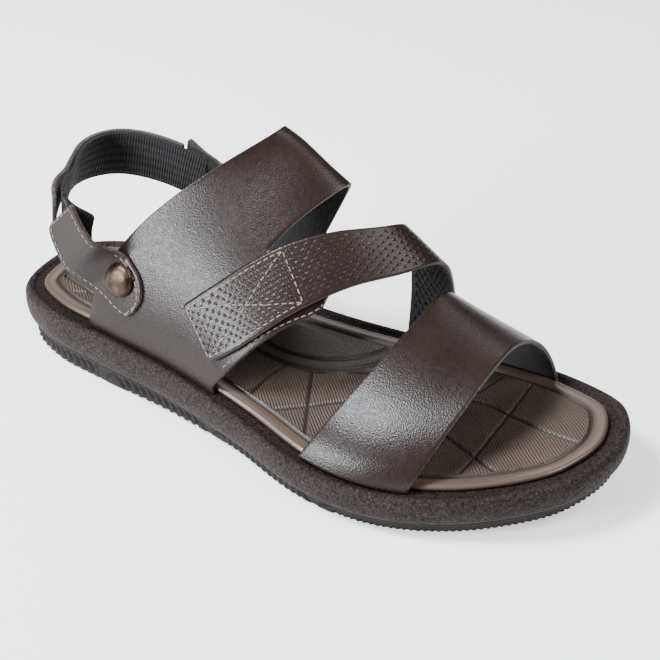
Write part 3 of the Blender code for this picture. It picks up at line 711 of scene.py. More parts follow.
def loft(name, rings, finishes, columns, bottom_columns, top_columns, bottom, top):
    """Closed body from rings of points; bottom and top give the height inside their ring."""
    count = 2 * columns
    points = [np.concatenate(rings)]
    faces = []
    for level in range(len(rings) - 1):
        low = np.arange(count) + level * count
        ids = np.stack([low, low + count], axis=1)
        ids = np.concatenate([ids, ids[:1]])
        faces += grid_faces(ids)
    total = len(rings) * count
    for level, inner_columns, height, up in (
        (0, bottom_columns, bottom, False),
        (len(rings) - 1, top_columns, top, True),
    ):
        base = rings[level]
        left = np.arange(1, columns)
        right = count - left
        shares = (np.arange(1, inner_columns + 1) / (inner_columns + 1))[None, :, None]
        inside = base[left][:, None] + (base[right] - base[left])[:, None] * shares
        if height:
            share_grid = np.broadcast_to(shares[..., 0], inside.shape[:2])
            inside[..., 2] = height(inside[..., 0], inside[..., 1], share_grid)
        numbers = total + np.arange(inside.shape[0] * inner_columns).reshape(inside.shape[:2])
        ids = np.concatenate(
            [left[:, None] + level * count, numbers, right[:, None] + level * count], axis=1
        )
        points.append(inside.reshape(-1, 3))
        total += inside.shape[0] * inner_columns
        faces += grid_faces(ids, flip=not up)
        heel_tip, toe_tip = level * count, level * count + columns
        for tip, rung, turn in ((heel_tip, ids[0], up), (toe_tip, ids[-1], not up)):
            for first, second in zip(rung, rung[1:]):
                pair = (int(first), int(second)) if turn else (int(second), int(first))
                faces.append([int(tip), *pair])
    everything = np.concatenate(points)
    return build_mesh(name, everything - middle(), faces, finishes), everything


def at_height(plan, heights):
    return np.column_stack([plan, heights])


def near_lines(x, y, lines):
    """Distance of each point from the nearest of some polylines."""
    best = np.full(x.shape, 1.0)
    for line in lines:
        for (ax, ay), (bx, by) in zip(line, line[1:]):
            dx, dy = bx - ax, by - ay
            share = np.clip(((x - ax) * dx + (y - ay) * dy) / (dx * dx + dy * dy), 0.0, 1.0)
            best = np.minimum(best, np.hypot(x - ax - dx * share, y - ay - dy * share))
    return best


def curve_line(points, count=12):
    """A fine line through points given in millimetres."""
    shares = np.linspace(0.0, 1.0, count * (len(points) - 1) + 1)
    return (along_rows(points, shares) * MM).tolist()


def side_relief(reach, along, level):
    """How far the outsole's side stands in from its lugs: level runs from 0 below to 1 above."""
    depth = sizes().lug_depth
    pitch = sizes().lug_pitch
    share = along / sizes().sole_length
    bend = np.abs((level - 0.36) / 0.36)
    chevron = np.mod(reach / pitch + 0.62 * bend, 1.0)
    lug = smooth(chevron / 0.16) * smooth((0.70 - chevron) / 0.16)
    split = smooth((np.abs(level - 0.36) - 0.02) / 0.03)
    chevrons = 1 - lug * (0.45 + 0.55 * split)
    wave_line = 0.42 + 0.30 * np.sin(np.mod(reach, 0.016) / 0.016 * 2 * np.pi)
    waves = 1 - smooth((np.abs(level - wave_line) - 0.05) / 0.08)
    rib = np.mod(reach / (0.8 * pitch) + 0.3 * level, 1.0)
    ribs = 0.55 * (1 - smooth(rib / 0.2) * smooth((0.75 - rib) / 0.2))
    small = np.mod(reach / (0.62 * pitch), 1.0)
    notch = 1 - smooth(small / 0.2) * smooth((0.7 - small) / 0.2)
    toe = 0.65 * notch * smooth((0.42 - level) / 0.08) + 0.35 * smooth((0.46 - level) / 0.04)
    kinds = {"chevron": chevrons, "wave": waves, "rib": ribs, "toe": toe}
    result = np.zeros_like(level)
    weight = np.zeros_like(level)
    for start, end, kind in SIDE_ZONES:
        part = smooth((share - start) / 0.004 + 0.5) * smooth((end - share) / 0.004 + 0.5)
        if end == 1.0:
            part = smooth((share - start) / 0.004 + 0.5)
        if start == 0.0:
            part = smooth((end - share) / 0.004 + 0.5)
        result += part * kinds[kind]
        weight += part
    lip = smooth((0.78 - level) / 0.05)
    return depth * lip * result / np.maximum(weight, 1e-6)


def tread_height(x, y, share):
    """Underside of the outsole, with its chevron tread let in."""
    pitch = 8.5 * MM
    bend = np.abs(np.mod(x / (22 * MM), 1.0) - 0.5) * 2
    phase = np.mod(y / pitch + 0.9 * bend, 1.0)
    cut = smooth(phase / 0.12) * smooth((0.34 - phase) / 0.12)
    edge = smooth(share / 0.05) * smooth((1 - share) / 0.05)
    return ground_height(y) + 1.1 * MM * cut * edge


def make_outsole():
    """Rubber outsole: chevron lugs, waves and ribs on its side, and a cut tread."""
    columns = OUTSOLE_COLUMNS
    levels = np.array([0.0, 0.03, 0.08, 0.13, 0.19, 0.25, 0.31, 0.34, 0.36, 0.38, 0.41, 0.47, 0.53,
                       0.59, 0.65, 0.70, 0.74, 0.78, 0.84, 0.92, 1.0])
    base, normals = ring(OUTSOLE_INSET, columns)
    reach = np.concatenate([[0.0], np.cumsum(np.linalg.norm(np.diff(base, axis=0), axis=1))])
    low = ground_height(base[:, 1])
    high = joint_height(base[:, 1]) - CLEARANCE / 2
    rings = []
    inner, _ = ring(OUTSOLE_INSET + 1.8 * MM, columns)
    rings.append(at_height(inner, ground_height(inner[:, 1])))
    for level in levels:
        relief = side_relief(reach, base[:, 1], np.full(len(base), level))
        turn_in = 1.0 * MM * (1 - smooth(level / 0.14)) ** 2
        swell = 0.35 * MM * smooth((level - 0.62) / 0.16) * smooth((1.04 - level) / 0.12)
        plan = base + normals * (swell - turn_in - relief)[:, None]
        rings.append(at_height(plan, low + (high - low) * (0.02 + 0.98 * level)))
    item, _ = loft("outsole_tread", rings, [rubber_finish()], columns, OUTSOLE_TREAD_COLUMNS, 0,
                   tread_height, None)
    return seat(item, "outsole_rubber", "outsole")


def make_midsole():
    """Foam midsole with its bulged side, rounded shoulder and channel."""
    columns = MIDSOLE_COLUMNS
    profile = np.array([
        # Inset in millimetres, share of the side's height, drop from the rim in millimetres
        (3.4, 0.00, 0.0), (2.2, 0.02, 0.0), (1.5, 0.06, 0.0), (0.9, 0.14, 0.0), (0.45, 0.24, 0.0),
        (0.15, 0.36, 0.0), (0.0, 0.50, 0.0), (0.05, 0.64, 0.0), (0.25, 1.0, 3.0),
        (0.55, 1.0, 2.1), (0.95, 1.0, 1.3), (1.5, 1.0, 0.65), (2.2, 1.0, 0.25), (3.1, 1.0, 0.0),
        (3.9, 1.0, 0.08), (4.5, 1.0, 0.45), (4.9, 1.0, 1.0), (5.5, 1.0, 1.5),
    ])
    rings = []
    for inset, share, drop in profile:
        plan, _ = ring(inset * MM, columns)
        along = plan[:, 1]
        low = joint_height(along) + CLEARANCE / 2
        rim = rim_height(along)
        rings.append(at_height(plan, low + (rim - low) * share - drop * MM))
    item, _ = loft("midsole_foam", rings, [foam_finish()], columns, 0, 0, None, None)
    return seat(item, "midsole_foam", "midsole")


def footbed_detail(x, y):
    """Height change and masks of the footbed's top: grooves, panels and the raised arch."""
    width = sizes().groove_width
    depth = sizes().groove_depth
    edge = np.array(curve_line(PANEL_EDGE))
    order = np.argsort(edge[:, 1])
    edge_x = np.interp(y, edge[order, 1], edge[order, 0])
    in_panel = smooth((x - edge_x) / (0.8 * MM))
    fan = np.hypot(x - FAN_CENTRE[0] * MM, y - FAN_CENTRE[1] * MM)
    inner, outer = (radius * MM for radius in FAN_RADII)
    near_fan = np.abs(y - FAN_CENTRE[1] * MM) < 45 * MM
    far = np.minimum(np.abs(fan - inner), np.abs(fan - outer))
    far = np.where(near_fan, far, 1.0)
    inside_fan = smooth((inner - fan) / (2 * MM))
    lines = near_lines(x, y, [curve_line(line) for line in PANEL_GROOVES])
    lines = np.where(in_panel > 0.5, lines, 1.0)
    border = near_lines(x, y, [edge.tolist()])
    cut = np.minimum(lines, border)
    groove_and_shade = 1 - smooth((cut - 0.25 * width) / (0.40 * width))
    wide = 1 - smooth((far - 0.5 * width) / (0.45 * width))
    groove_and_shade = np.maximum(groove_and_shade, wide)
    ring_pad = smooth((fan - inner) / width) * smooth((outer - fan) / width) * near_fan
    ribs = in_panel * (1 - groove_and_shade) * (1 - ring_pad) * (1 - inside_fan)
    lift = 0.25 * MM * inside_fan + 0.15 * MM * ring_pad - depth * groove_and_shade
    return lift, ribs, groove_and_shade


def make_footbed():
    """Moulded footbed: a rounded bead, ribbed panels between grooves, and a raised arch."""
    columns = FOOTBED_COLUMNS
    edge = (sizes().brim_width + CLEARANCE) / MM
    bead = sizes().bead_width / MM
    high = sizes().bead_height / MM
    thick = FOOTBED_THICKNESS / MM
    profile = [
        (edge + 0.9, 0.0), (edge + 0.3, 0.1), (edge, 0.6), (edge, 1.2), (edge + 0.25, high - 0.75),
        (edge + 0.8, high - 0.28), (edge + 1.6, high - 0.06), (edge + 2.6, high),
        (edge + 3.8, high - 0.03), (edge + 4.8, high - 0.15), (edge + 5.6, high - 0.40),
        (edge + bead - 0.4, high - 0.85), (edge + bead, high - 1.25), (edge + bead + 0.35, thick - 0.95),
        (edge + bead + 0.7, thick - 0.75), (edge + bead + 1.1, thick - 0.1), (edge + bead + 1.6, thick),
    ]
    rings = []
    for inset, rise in profile:
        plan, _ = ring(inset * MM, columns)
        along = plan[:, 1]
        rings.append(at_height(plan, seat_height(along) + CLEARANCE + rise * MM))

    def top(x, y, share):
        length = sizes().sole_length
        heel = 1.2 * MM * np.sin(np.pi * share) * (1 - smooth((y / length - 0.2) / 0.2))
        arch_place = np.maximum(0.0, 1 - np.abs(y / length - 0.42) / 0.2)
        arch = 2.5 * MM * smooth(arch_place) * smooth((share - 0.45) / 0.5)
        arch = arch * smooth((1 - share) / 0.12)
        lift, _, _ = footbed_detail(x, y)
        fade = smooth(share / 0.008) * smooth((1 - share) / 0.008)
        return seat_height(y) + CLEARANCE + FOOTBED_THICKNESS - heel + arch + lift * fade

    item, points = loft("footbed_moulded", rings, [footbed_finish()], columns, 0,
                        FOOTBED_INNER_COLUMNS, None, top)
    _, ribs, groove_and_shade = footbed_detail(points[:, 0], points[:, 1])
    count = 2 * columns
    bead_rings = np.array([0, 0, 0.2, 0.8, 1, 1, 1, 1, 1, 1, 0.9, 0.6, 0.2, 0, 0, 0, 0])
    # Painted shade on the profile rings: the footbed's foot in the midsole's channel and the foot of the
    # bead are darkened through the same mask as the grooves.
    painted_shade_rings = np.array([1, 1, 0.8, 0.3, 0, 0, 0, 0, 0, 0, 0, 0.3, 0.8, 1, 0.9, 0.2, 0])
    on_rings = len(profile) * count
    ribs[:on_rings] = 0.0
    groove_and_shade[:on_rings] = np.repeat(painted_shade_rings, count)
    bead_mask = np.zeros(len(points))
    bead_mask[:on_rings] = np.repeat(bead_rings, count)
    smooth_zone = (ribs < 0.02) & (np.arange(len(points)) >= on_rings)
    bead_mask[smooth_zone] = 0.0
    mark(item, "ribs", ribs)
    mark(item, "groove_and_shade", groove_and_shade)
    mark(item, "bead", bead_mask)
    return seat(item, "footbed_cover", "footbed")


# The last


def section_at(sections, number):
    """Section between the given ones, on the smooth curve through them; straight on behind them."""
    if number < 0:
        first = section_at(sections, 0.0)
        second = section_at(sections, 0.2)
        section = Section(*(a + (b - a) * number / 0.2 for a, b in zip(first, second)))
        return section._replace(outer_lean=first.outer_lean, inner_lean=first.inner_lean)
    values = np.zeros(len(Section._fields))
    for index, section in enumerate(sections):
        weight = 1.0
        for other in range(len(sections)):
            if other != index:
                weight *= (number - other) / (index - other)
        values += weight * np.array(section)
    return Section(*values)


def section_line(sections, number, strap_height):
    """Even points from the outer base over the crown to the inner base, half of them each side."""
    section = section_at(sections, number)
    length = sizes().sole_length
    outer_y = section.outer_along * length
    inner_y = section.inner_along * length
    crown_y = section.crown_along * length
    outer_x = side_x(outer_y, STRAP_INSET, True)
    inner_x = side_x(inner_y, STRAP_INSET, False)
    crown_x = outer_x + (inner_x - outer_x) * section.crown_across
    crown_z = rim_height(crown_y) + section.height * strap_height
    halves = []
    for base_x, base_y, full, lean in (
        (outer_x, outer_y, section.outer_full, section.outer_lean),
        (inner_x, inner_y, section.inner_full, section.inner_lean),
    ):
        base_z = seat_height(base_y) + CLEARANCE
        angle = np.linspace(0.0, math.pi / 2, 41)
        rise = np.sin(angle) ** (2 / full)
        reach = np.maximum(0.0, np.cos(angle)) ** (2 / full)
        halves.append(even(np.stack([
            crown_x + (base_x - crown_x) * reach,
            base_y + (crown_y - base_y) * rise ** lean,
            base_z + (crown_z - base_z) * rise,
        ], axis=1), 40))
    line = np.concatenate([halves[0], halves[1][:-1][::-1]])
    for _ in range(8):
        line[1:-1] = (line[:-2] + 2 * line[1:-1] + line[2:]) / 4
    return line


class Last:
    """A smooth surface over some sections, asked by section number and way round."""

    def __init__(self, sections, strap_height, low, high):
        self.low = low
        self.step = (high - low) / LAST_NUMBERS
        numbers = low + self.step * np.arange(LAST_NUMBERS + 1)
        self.net = np.stack([section_line(sections, number, strap_height) for number in numbers])

    def points(self, numbers, rounds):
        numbers, rounds = np.broadcast_arrays(
            np.asarray(numbers, dtype=float), np.asarray(rounds, dtype=float)
        )
        place = np.clip((numbers - self.low) / self.step, 0.0, LAST_NUMBERS - 1e-6)
        turn = np.clip(rounds, 0.0, 2.0) * 40
        turn = np.minimum(turn, LAST_ROUNDS - 1e-6)
        row = place.astype(int)
        column = turn.astype(int)
        share = (place - row)[..., None]
        rows = [np.clip(row + offset, 0, LAST_NUMBERS) for offset in (0, 1)]
        columns = [np.clip(column + offset, 0, LAST_ROUNDS) for offset in (-1, 0, 1, 2)]
        found = []
        for index in rows:
            four = [self.net[index, part] for part in columns]
            found.append(catmull(*four, (turn - column)[..., None]))
        return found[0] + (found[1] - found[0]) * share

    def normals(self, numbers, rounds):
        step = 0.02
        forward = self.points(numbers + step, rounds) - self.points(numbers - step, rounds)
        over = self.points(numbers, rounds + step) - self.points(numbers, rounds - step)
        return unit(np.cross(forward, over))


@lru_cache(maxsize=None)
def instep_last():
    return Last(INSTEP_SECTIONS, sizes().instep_height, -0.75, 2.06)


@lru_cache(maxsize=None)
def toe_last():
    return Last(TOE_SECTIONS, sizes().toe_strap_height, -0.05, 1.05)


def strap_places(rows, lengthways, crossways):
    """Section numbers, ways round and lifts of points of a strap, given as shares of it."""
    table = along_rows(rows, lengthways)
    share = np.asarray(crossways, dtype=float)
    numbers = table[..., 0] + (table[..., 2] - table[..., 0]) * share
    rounds = table[..., 1] + (table[..., 3] - table[..., 1]) * share
    return numbers, rounds, table[..., 4]


def strap_points(rows, lengthways, crossways, lift):
    """Points of a strap on the instep, lifted along the last's normal, and those normals."""
    numbers, rounds, lifts = strap_places(rows, lengthways, crossways)
    spots = instep_last().points(numbers, rounds)
    normals = instep_last().normals(numbers, rounds)
    return spots + normals * (np.maximum(lifts, 0.0) * lift)[..., None], normals


def leather_sheet(name, grids, thickness, finishes, edge=0.35 * MM):
    """A sheet with rounded edges from grids of points that share their common borders."""
    known = {}
    points = []
    faces = []
    for grid in grids:
        rows, columns = grid.shape[:2]
        ids = np.zeros((rows, columns), dtype=int)
        for row in range(rows):
            for column in range(columns):
                key = tuple(np.round(grid[row, column], 6))
                if key not in known:
                    known[key] = len(points)
                    points.append(grid[row, column])
                ids[row, column] = known[key]
        faces += grid_faces(ids)
    return thick_sheet(name, np.array(points), faces, thickness, finishes, edge)


def thick_sheet(name, points, faces, thickness, finishes, edge, slots=None):
    item = build_mesh(name, points - middle(), faces, finishes, slots)
    outwards(item)
    solid = item.modifiers.new("Thickness", "SOLIDIFY")
    solid.thickness = thickness
    solid.offset = 1.0
    solid.use_even_offset = True
    solid.material_offset = 1
    solid.material_offset_rim = 2
    if edge:
        bevel = item.modifiers.new("Edge", "BEVEL")
        bevel.width = edge
        bevel.segments = 2
        bevel.limit_method = "ANGLE"
        bevel.angle_limit = math.radians(50)
    return item


def outwards(item):
    """Turns a sheet's faces away from the foot."""
    mesh = bmesh.new()
    mesh.from_mesh(item.data)
    bmesh.ops.recalc_face_normals(mesh, faces=mesh.faces)
    centre = sum((vertex.co for vertex in mesh.verts), Vector()) / len(mesh.verts)
    centre.x = 0.0
    facing = sum(
        face.normal.dot(face.calc_center_median() - centre) * face.calc_area() for face in mesh.faces
    )
    if facing < 0:
        bmesh.ops.reverse_faces(mesh, faces=mesh.faces)
    mesh.to_mesh(item.data)
    mesh.free()


def strap_finishes():
    return [leather_finish(), lining_finish(), edge_finish()]


def mesh_grid(first, second):
    return np.meshgrid(np.asarray(first), np.asarray(second), indexing="ij")


def make_front_strap():
    """Wide leather band over the toes."""
    rounds, numbers = mesh_grid(np.linspace(0, 2, 121), np.linspace(0, 1, 31))
    grid = toe_last().points(numbers, rounds)
    item = leather_sheet("front_strap_leather", [grid], sizes().leather, strap_finishes())
    return seat(item, "strap_leather", "front_strap")


def make_instep_band():
    """Instep band with the fork that runs forward from it under the closure strap."""
    low = FORK_ROWS[0].front_round
    high = FORK_ROWS[0].back_round
    fork_rounds = np.linspace(low, high, 21)
    rounds = np.concatenate([np.linspace(0, low, 3)[:-1], fork_rounds, np.linspace(high, 2, 71)[1:]])
    all_rounds, numbers = mesh_grid(rounds, np.linspace(0, 1, 31))
    band = instep_last().points(numbers, all_rounds)
    lengthways, crossways = mesh_grid(np.linspace(0, 1, 41), np.linspace(0, 1, 21))
    fork, _ = strap_points(FORK_ROWS, lengthways, crossways, 0.0)
    fork[0] = band[2:23, -1][::-1]
    item = leather_sheet("instep_band_leather", [band, fork], sizes().leather, strap_finishes())
    return seat(item, "strap_leather", "instep_straps")


def closure_lift():
    return sizes().leather + 1 * MM


def closure_length():
    """Length and width of the closure strap, over the middle of its surface."""
    lengthways = np.linspace(0, 1, 60)
    line, _ = strap_points(CLOSURE_ROWS, lengthways, np.full(60, 0.5), closure_lift())
    length = float(np.linalg.norm(np.diff(line, axis=0), axis=1).sum())
    across, _ = strap_points(CLOSURE_ROWS, np.full(20, 0.2), np.linspace(0, 1, 20), closure_lift())
    return length, float(np.linalg.norm(np.diff(across, axis=0), axis=1).sum())


def make_closure_strap():
    """Closure strap with rows of punched dimples, whose bottoms take the dark hook cloth as painted shade.
    """
    length, width = closure_length()
    cells_long = int(round(length / sizes().dimple_pitch))
    cells_wide = int(round(width / sizes().dimple_pitch))
    radius = sizes().dimple_radius / sizes().dimple_pitch
    square = [(-0.5, -0.5), (0, -0.5), (0.5, -0.5), (0.5, 0), (0.5, 0.5), (0, 0.5), (-0.5, 0.5), (-0.5, 0)]
    turn = np.arange(8) * math.pi / 4 - 0.75 * math.pi
    circle = np.stack([np.cos(turn), np.sin(turn)], axis=1)
    known = {}
    places = []
    faces = []
    slots = []

    def vert(across, along, depth=0.0):
        key = (round(across * 20), round(along * 20), round(depth * 1e6))
        if key not in known:
            known[key] = len(places)
            places.append((across, along, depth))
        return known[key]

    margin = 1
    for row in range(cells_long):
        for column in range(cells_wide):
            x, y = column + 0.5, row + 0.5
            frame_ids = [vert(x + a, y + b) for a, b in square]
            punched = (row + column) % 2 == 0 and margin <= column < cells_wide - margin
            if not punched or row < margin:
                centre = vert(x, y)
                faces += [[centre, frame_ids[i], frame_ids[(i + 1) % 8]] for i in range(8)]
                slots += [0] * 8
                continue
            loops = [frame_ids]
            for scale, depth in ((1.12, 0.0), (0.95, 0.18 * MM), (0.80, 0.70 * MM)):
                loops.append([vert(x + a * radius * scale, y + b * radius * scale, depth + 1e-6)
                              for a, b in circle])
            for outer_loop, inner_loop in zip(loops, loops[1:]):
                for i in range(8):
                    j = (i + 1) % 8
                    faces.append([outer_loop[i], outer_loop[j], inner_loop[j], inner_loop[i]])
                    slots.append(0)
            # Painted shade: the dimple's bottom takes the near-black hook cloth (slot 3) so that it looks
            # deep.
            faces.append(loops[-1])
            slots.append(3)
    table = np.array(places)
    lengthways = np.clip(table[:, 1] / cells_long, 0.0, 1.0)
    crossways = np.clip(table[:, 0] / cells_wide, 0.0, 1.0)
    round_end(lengthways, crossways, length, width)
    spots, normals = strap_points(CLOSURE_ROWS, lengthways, crossways, closure_lift())
    points = spots - normals * table[:, 2:3]
    # The hook cloth in slot 3 is also the dimples' painted shade.
    finishes = [*strap_finishes(), hook_cloth_and_dimple_shade_finish()]
    item = build_mesh("closure_strap_leather", points - middle(), faces, finishes, slots)
    outwards(item)
    thicken(item, sizes().leather, 0.3 * MM)
    return seat(item, "strap_leather")


def thicken(item, thickness, edge):
    solid = item.modifiers.new("Thickness", "SOLIDIFY")
    solid.thickness = thickness
    solid.offset = 1.0
    solid.use_even_offset = False
    solid.material_offset = 1
    solid.material_offset_rim = 2


def round_end(lengthways, crossways, length, width):
    """Rounds the strap's free end by drawing its corners in."""
    corner = 3.5 * MM
    start = lengthways * length
    edge = np.minimum(crossways, 1 - crossways) * width
    inside = (start < corner) & (edge < corner)
    dx = 1 - start / corner
    dy = 1 - edge / corner
    reach = np.hypot(dx, dy)
    limit = np.maximum(np.abs(dx), np.abs(dy))
    scale = np.where(inside & (reach > 1e-6), limit / np.maximum(reach, 1e-6), 1.0)
    new_start = corner * (1 - dx * scale)
    new_edge = corner * (1 - dy * scale)
    lengthways[inside] = (new_start / length)[inside]
    side = crossways > 0.5
    moved = np.where(side, 1 - new_edge / width, new_edge / width)
    crossways[inside] = moved[inside]


def make_hook_patch():
    """Hook-and-loop cloth between the fork and the closure strap."""
    lengthways, crossways = mesh_grid(
        np.linspace(0.01, PATCH_SHARE, 31), np.linspace(PATCH_MARGIN, 1 - PATCH_MARGIN, 13)
    )
    grid, _ = strap_points(CLOSURE_ROWS, lengthways, crossways, sizes().leather)
    finish = hook_cloth_and_dimple_shade_finish()
    item = leather_sheet("hook_and_loop_patch", [grid], 1.05 * MM, [finish] * 3, 0.0)
    return seat(item, "webbing_cloth")


# Stitches


def stitch_run(line, outward, pitch_scale=1.0):
    """Ends and outward directions of the stitches along a line on a surface."""
    steps = np.linalg.norm(np.diff(line, axis=0), axis=1)
    reach = np.concatenate([[0.0], np.cumsum(steps)])
    pitch = (sizes().stitch_length + sizes().stitch_gap) * pitch_scale
    count = max(int(reach[-1] / pitch), 1)
    pitch = reach[-1] / count
    stitch = pitch * sizes().stitch_length / (sizes().stitch_length + sizes().stitch_gap)

    def at(distance, table):
        return np.array([np.interp(distance, reach, column) for column in table.T])

    found = []
    for index in range(count):
        start = index * pitch + (pitch - stitch) / 2
        ends = at(start, line), at(start + stitch, line)
        found.append((*ends, unit(at(start + stitch / 2, outward))))
    return found


def make_stitches(name, runs, slot):
    """Bowed lengths of thread, one for each stitch."""
    radius = sizes().thread_radius
    points = []
    faces = []
    around = 6
    stations = ((0.0, -1.1, 0.55), (0.12, 0.05, 0.95), (0.35, 0.55, 1.0), (0.65, 0.55, 1.0),
                (0.88, 0.05, 0.95), (1.0, -1.1, 0.55))
    for start, end, outward in runs:
        run = end - start
        side = unit(np.cross(run, outward))
        up = unit(np.cross(side, run))
        first = len(points)
        for share, rise, girth in stations:
            centre = start + run * share + up * rise * radius
            for step in range(around):
                angle = 2 * math.pi * step / around
                turn = side * math.cos(angle) * 1.25 + up * math.sin(angle)
                points.append(centre + turn * radius * girth)
        for ring_number in range(len(stations) - 1):
            for step in range(around):
                a = first + ring_number * around + step
                b = first + ring_number * around + (step + 1) % around
                faces.append([a, b, b + around, a + around])
        faces.append([first + step for step in reversed(range(around))])
        last_ring = first + (len(stations) - 1) * around
        faces.append([last_ring + step for step in range(around)])
    item = build_mesh(name, np.array(points) - middle(), faces, [thread_finish()])
    return seat(item, slot)


def closure_line(spots, count=60):
    """A sewn line on the closure strap through places given as shares of its length and width."""
    places = even(spots, count)
    line, normals = strap_points(CLOSURE_ROWS, places[:, 0], places[:, 1], closure_lift())
    return line + normals * sizes().leather, normals


def make_closure_stitches():
    """The crossed box that holds the closure strap to its patch."""
    length, width = closure_length()
    margin = 2.2 * MM
    low, high = margin / width, 1 - margin / width
    start, box_end = margin / length, 0.36
    runs = []
    for path in (
        [(box_end, low), (start, low), (start, high), (box_end, high), (box_end, low)],
        [(start, low), (box_end, high)],
        [(start, high), (box_end, low)],
    ):
        for first, second in zip(path, path[1:]):
            line, normals = closure_line([first, second])
            runs += stitch_run(line, normals)
    return make_stitches("closure_stitches", runs, "strap_leather")


def make_fork_stitches():
    """Row along the fork's lower edge and round its end."""
    runs = []
    path = [(0.10, 0.93), (0.93, 0.90), (0.97, 0.75), (0.97, 0.25), (0.93, 0.08), (0.60, 0.05)]
    for first, second in zip(path, path[1:]):
        places = even([first, second], 30)
        line, normals = strap_points(FORK_ROWS, places[:, 0], places[:, 1], 0.0)
        runs += stitch_run(line + normals * sizes().leather, normals)
    return make_stitches("fork_stitches", runs, "strap_leather")


# The heel strap


def heel_path(shares):
    """Middle line of the heel strap and its directions: outward and up across its width."""
    table = along_rows(HEEL_PATH, shares)
    scale = np.array([sizes().ball_width, sizes().sole_length, sizes().heel_strap_height])
    centre = table[:, :3] * scale
    ahead = along_rows(HEEL_PATH, np.minimum(shares + 0.02, 1.0))[:, :3] * scale
    behind = along_rows(HEEL_PATH, np.maximum(shares - 0.02, 0.0))[:, :3] * scale
    run = unit(ahead - behind)
    outward = unit(np.stack([-run[:, 1], run[:, 0], np.zeros(len(run))], axis=1))
    upright = unit(np.array([0.0, 0.0, 1.0]) - run * run[:, 2:3])
    upright = unit(upright - outward * table[:, 3:4])
    return centre, outward, upright, table[:, 4]


def heel_grid(start, end, count, lift_size, width, across):
    centre, outward, upright, lifts = heel_path(np.linspace(start, end, count + 1))
    lift = lift_size + np.maximum(lifts, 0.0) * sizes().tab_leather if lift_size else 0 * lifts
    base = centre + outward * np.asarray(lift)[:, None]
    shares = 0.5 - np.linspace(0, 1, across + 1)
    return base[:, None] + upright[:, None] * (width * shares)[None, :, None]


def weave_map(item, grid_points):
    """Gives the sheet a flat map in metres along and across the strap."""
    rows, columns = grid_points.shape[:2]
    steps = np.linalg.norm(np.diff(grid_points[:, columns // 2], axis=0), axis=1)
    along = np.concatenate([[0.0], np.cumsum(steps)])
    width = float(np.linalg.norm(grid_points[0, 0] - grid_points[0, -1]))
    across = np.linspace(0, width, columns)
    flat = np.stack(np.meshgrid(along, across, indexing="ij"), axis=-1).reshape(-1, 2)
    layer = item.data.uv_layers.new(name="weave")
    corners = np.zeros(len(item.data.loops), dtype=np.int32)
    item.data.loops.foreach_get("vertex_index", corners)
    layer.data.foreach_set("uv", flat[corners].ravel().astype(np.float32))


def make_webbing():
    """Woven strap round the heel."""
    rows = 160
    grid = heel_grid(0.0, 1.0, rows, 0.0, sizes().heel_strap_width, 12)
    width = 0.25 + 0.75 * smooth(np.linspace(0, 1, rows + 1) / 0.12)
    low_edge = grid[:, -1:]
    grid = low_edge + (grid - low_edge) * width[:, None, None]
    item = leather_sheet("heel_strap_webbing", [grid], sizes().webbing, [webbing_finish()] * 3,
                         0.3 * MM)
    weave_map(item, grid)
    return seat(item, "webbing_cloth", "heel_webbing")


def make_heel_leather():
    """Leather over the outside of the webbing."""
    lift = sizes().webbing + 2 * CLEARANCE
    width = sizes().heel_strap_width + 1 * MM
    grid = heel_grid(HEEL_LEATHER_START, HEEL_LEATHER_END, 140, lift, width, 12)
    item = leather_sheet("heel_strap_leather", [grid], 1.6 * MM, strap_finishes(), 0.3 * MM)
    return seat(item, "strap_leather", "heel_leather")


# Tabs and rivets


@lru_cache(maxsize=None)
def wall_lines(side):
    lines = []
    for step in range(-8, 15):
        line = section_line(INSTEP_SECTIONS, step / 12, sizes().instep_height)
        half = line[:41] if side == "outer" else line[40:][::-1]
        lines.append(half)
    return lines


def wall_point(side, along, height):
    """Point of the band's outer or inner wall at a place along the sole and a height."""
    crossings = np.array([
        [np.interp(height, half[:, 2], half[:, axis]) for axis in range(2)]
        for half in wall_lines(side)
    ])
    order = np.argsort(crossings[:, 1])
    x = float(np.interp(along, crossings[order, 1], crossings[order, 0]))
    return np.array([x, along, height])


def wall_normal(side, along, height):
    step = 3 * MM
    forward = wall_point(side, along + step, height) - wall_point(side, along - step, height)
    upward = wall_point(side, along, height + step) - wall_point(side, along, height - step)
    normal = unit(np.cross(forward, upward))
    return normal if side == "outer" else -normal


def rivet_centre(place):
    number = np.array(place.section)
    around = np.array(place.around)
    return instep_last().points(number, around), instep_last().normals(number, around)


def tab_points(place, shares, crossways, lift):
    """Points of a tab, from shares of its length and width, lying on the band or free of it."""
    centre, _ = rivet_centre(place)
    rise = math.radians(place.rise)
    back = np.array([0, -math.cos(rise), math.sin(rise)])
    up = np.array([0, math.sin(rise), math.cos(rise)])
    sign = 1 if place.side == "outer" else -1
    table = along_rows(TAB_ROWS, shares)
    result = np.zeros((len(table), 3))
    for index, (row, share) in enumerate(zip(table, crossways)):
        edge = row[2] + (row[1] - row[2]) * share
        spot = centre + back * row[0] * sizes().tab_length + up * edge * sizes().tab_width
        seated = wall_point(place.side, spot[1], spot[2])
        seated = seated + wall_normal(place.side, spot[1], spot[2]) * lift
        plane = TAB_PLANE * sizes().ball_width + lift - sizes().leather - CLEARANCE
        straight = np.array([sign * plane, spot[1], spot[2]])
        free = smooth((row[0] - TAB_LIFT_OFF) / TAB_LIFT_SPAN)
        result[index] = seated + (straight - seated) * free
    return result


def tab_grid(place, lift):
    lengthways, crossways = mesh_grid(np.linspace(0, 1, 61), np.linspace(0, 1, 21))
    flat = tab_points(place, lengthways.ravel(), crossways.ravel(), lift)
    return flat.reshape(61, 21, 3)


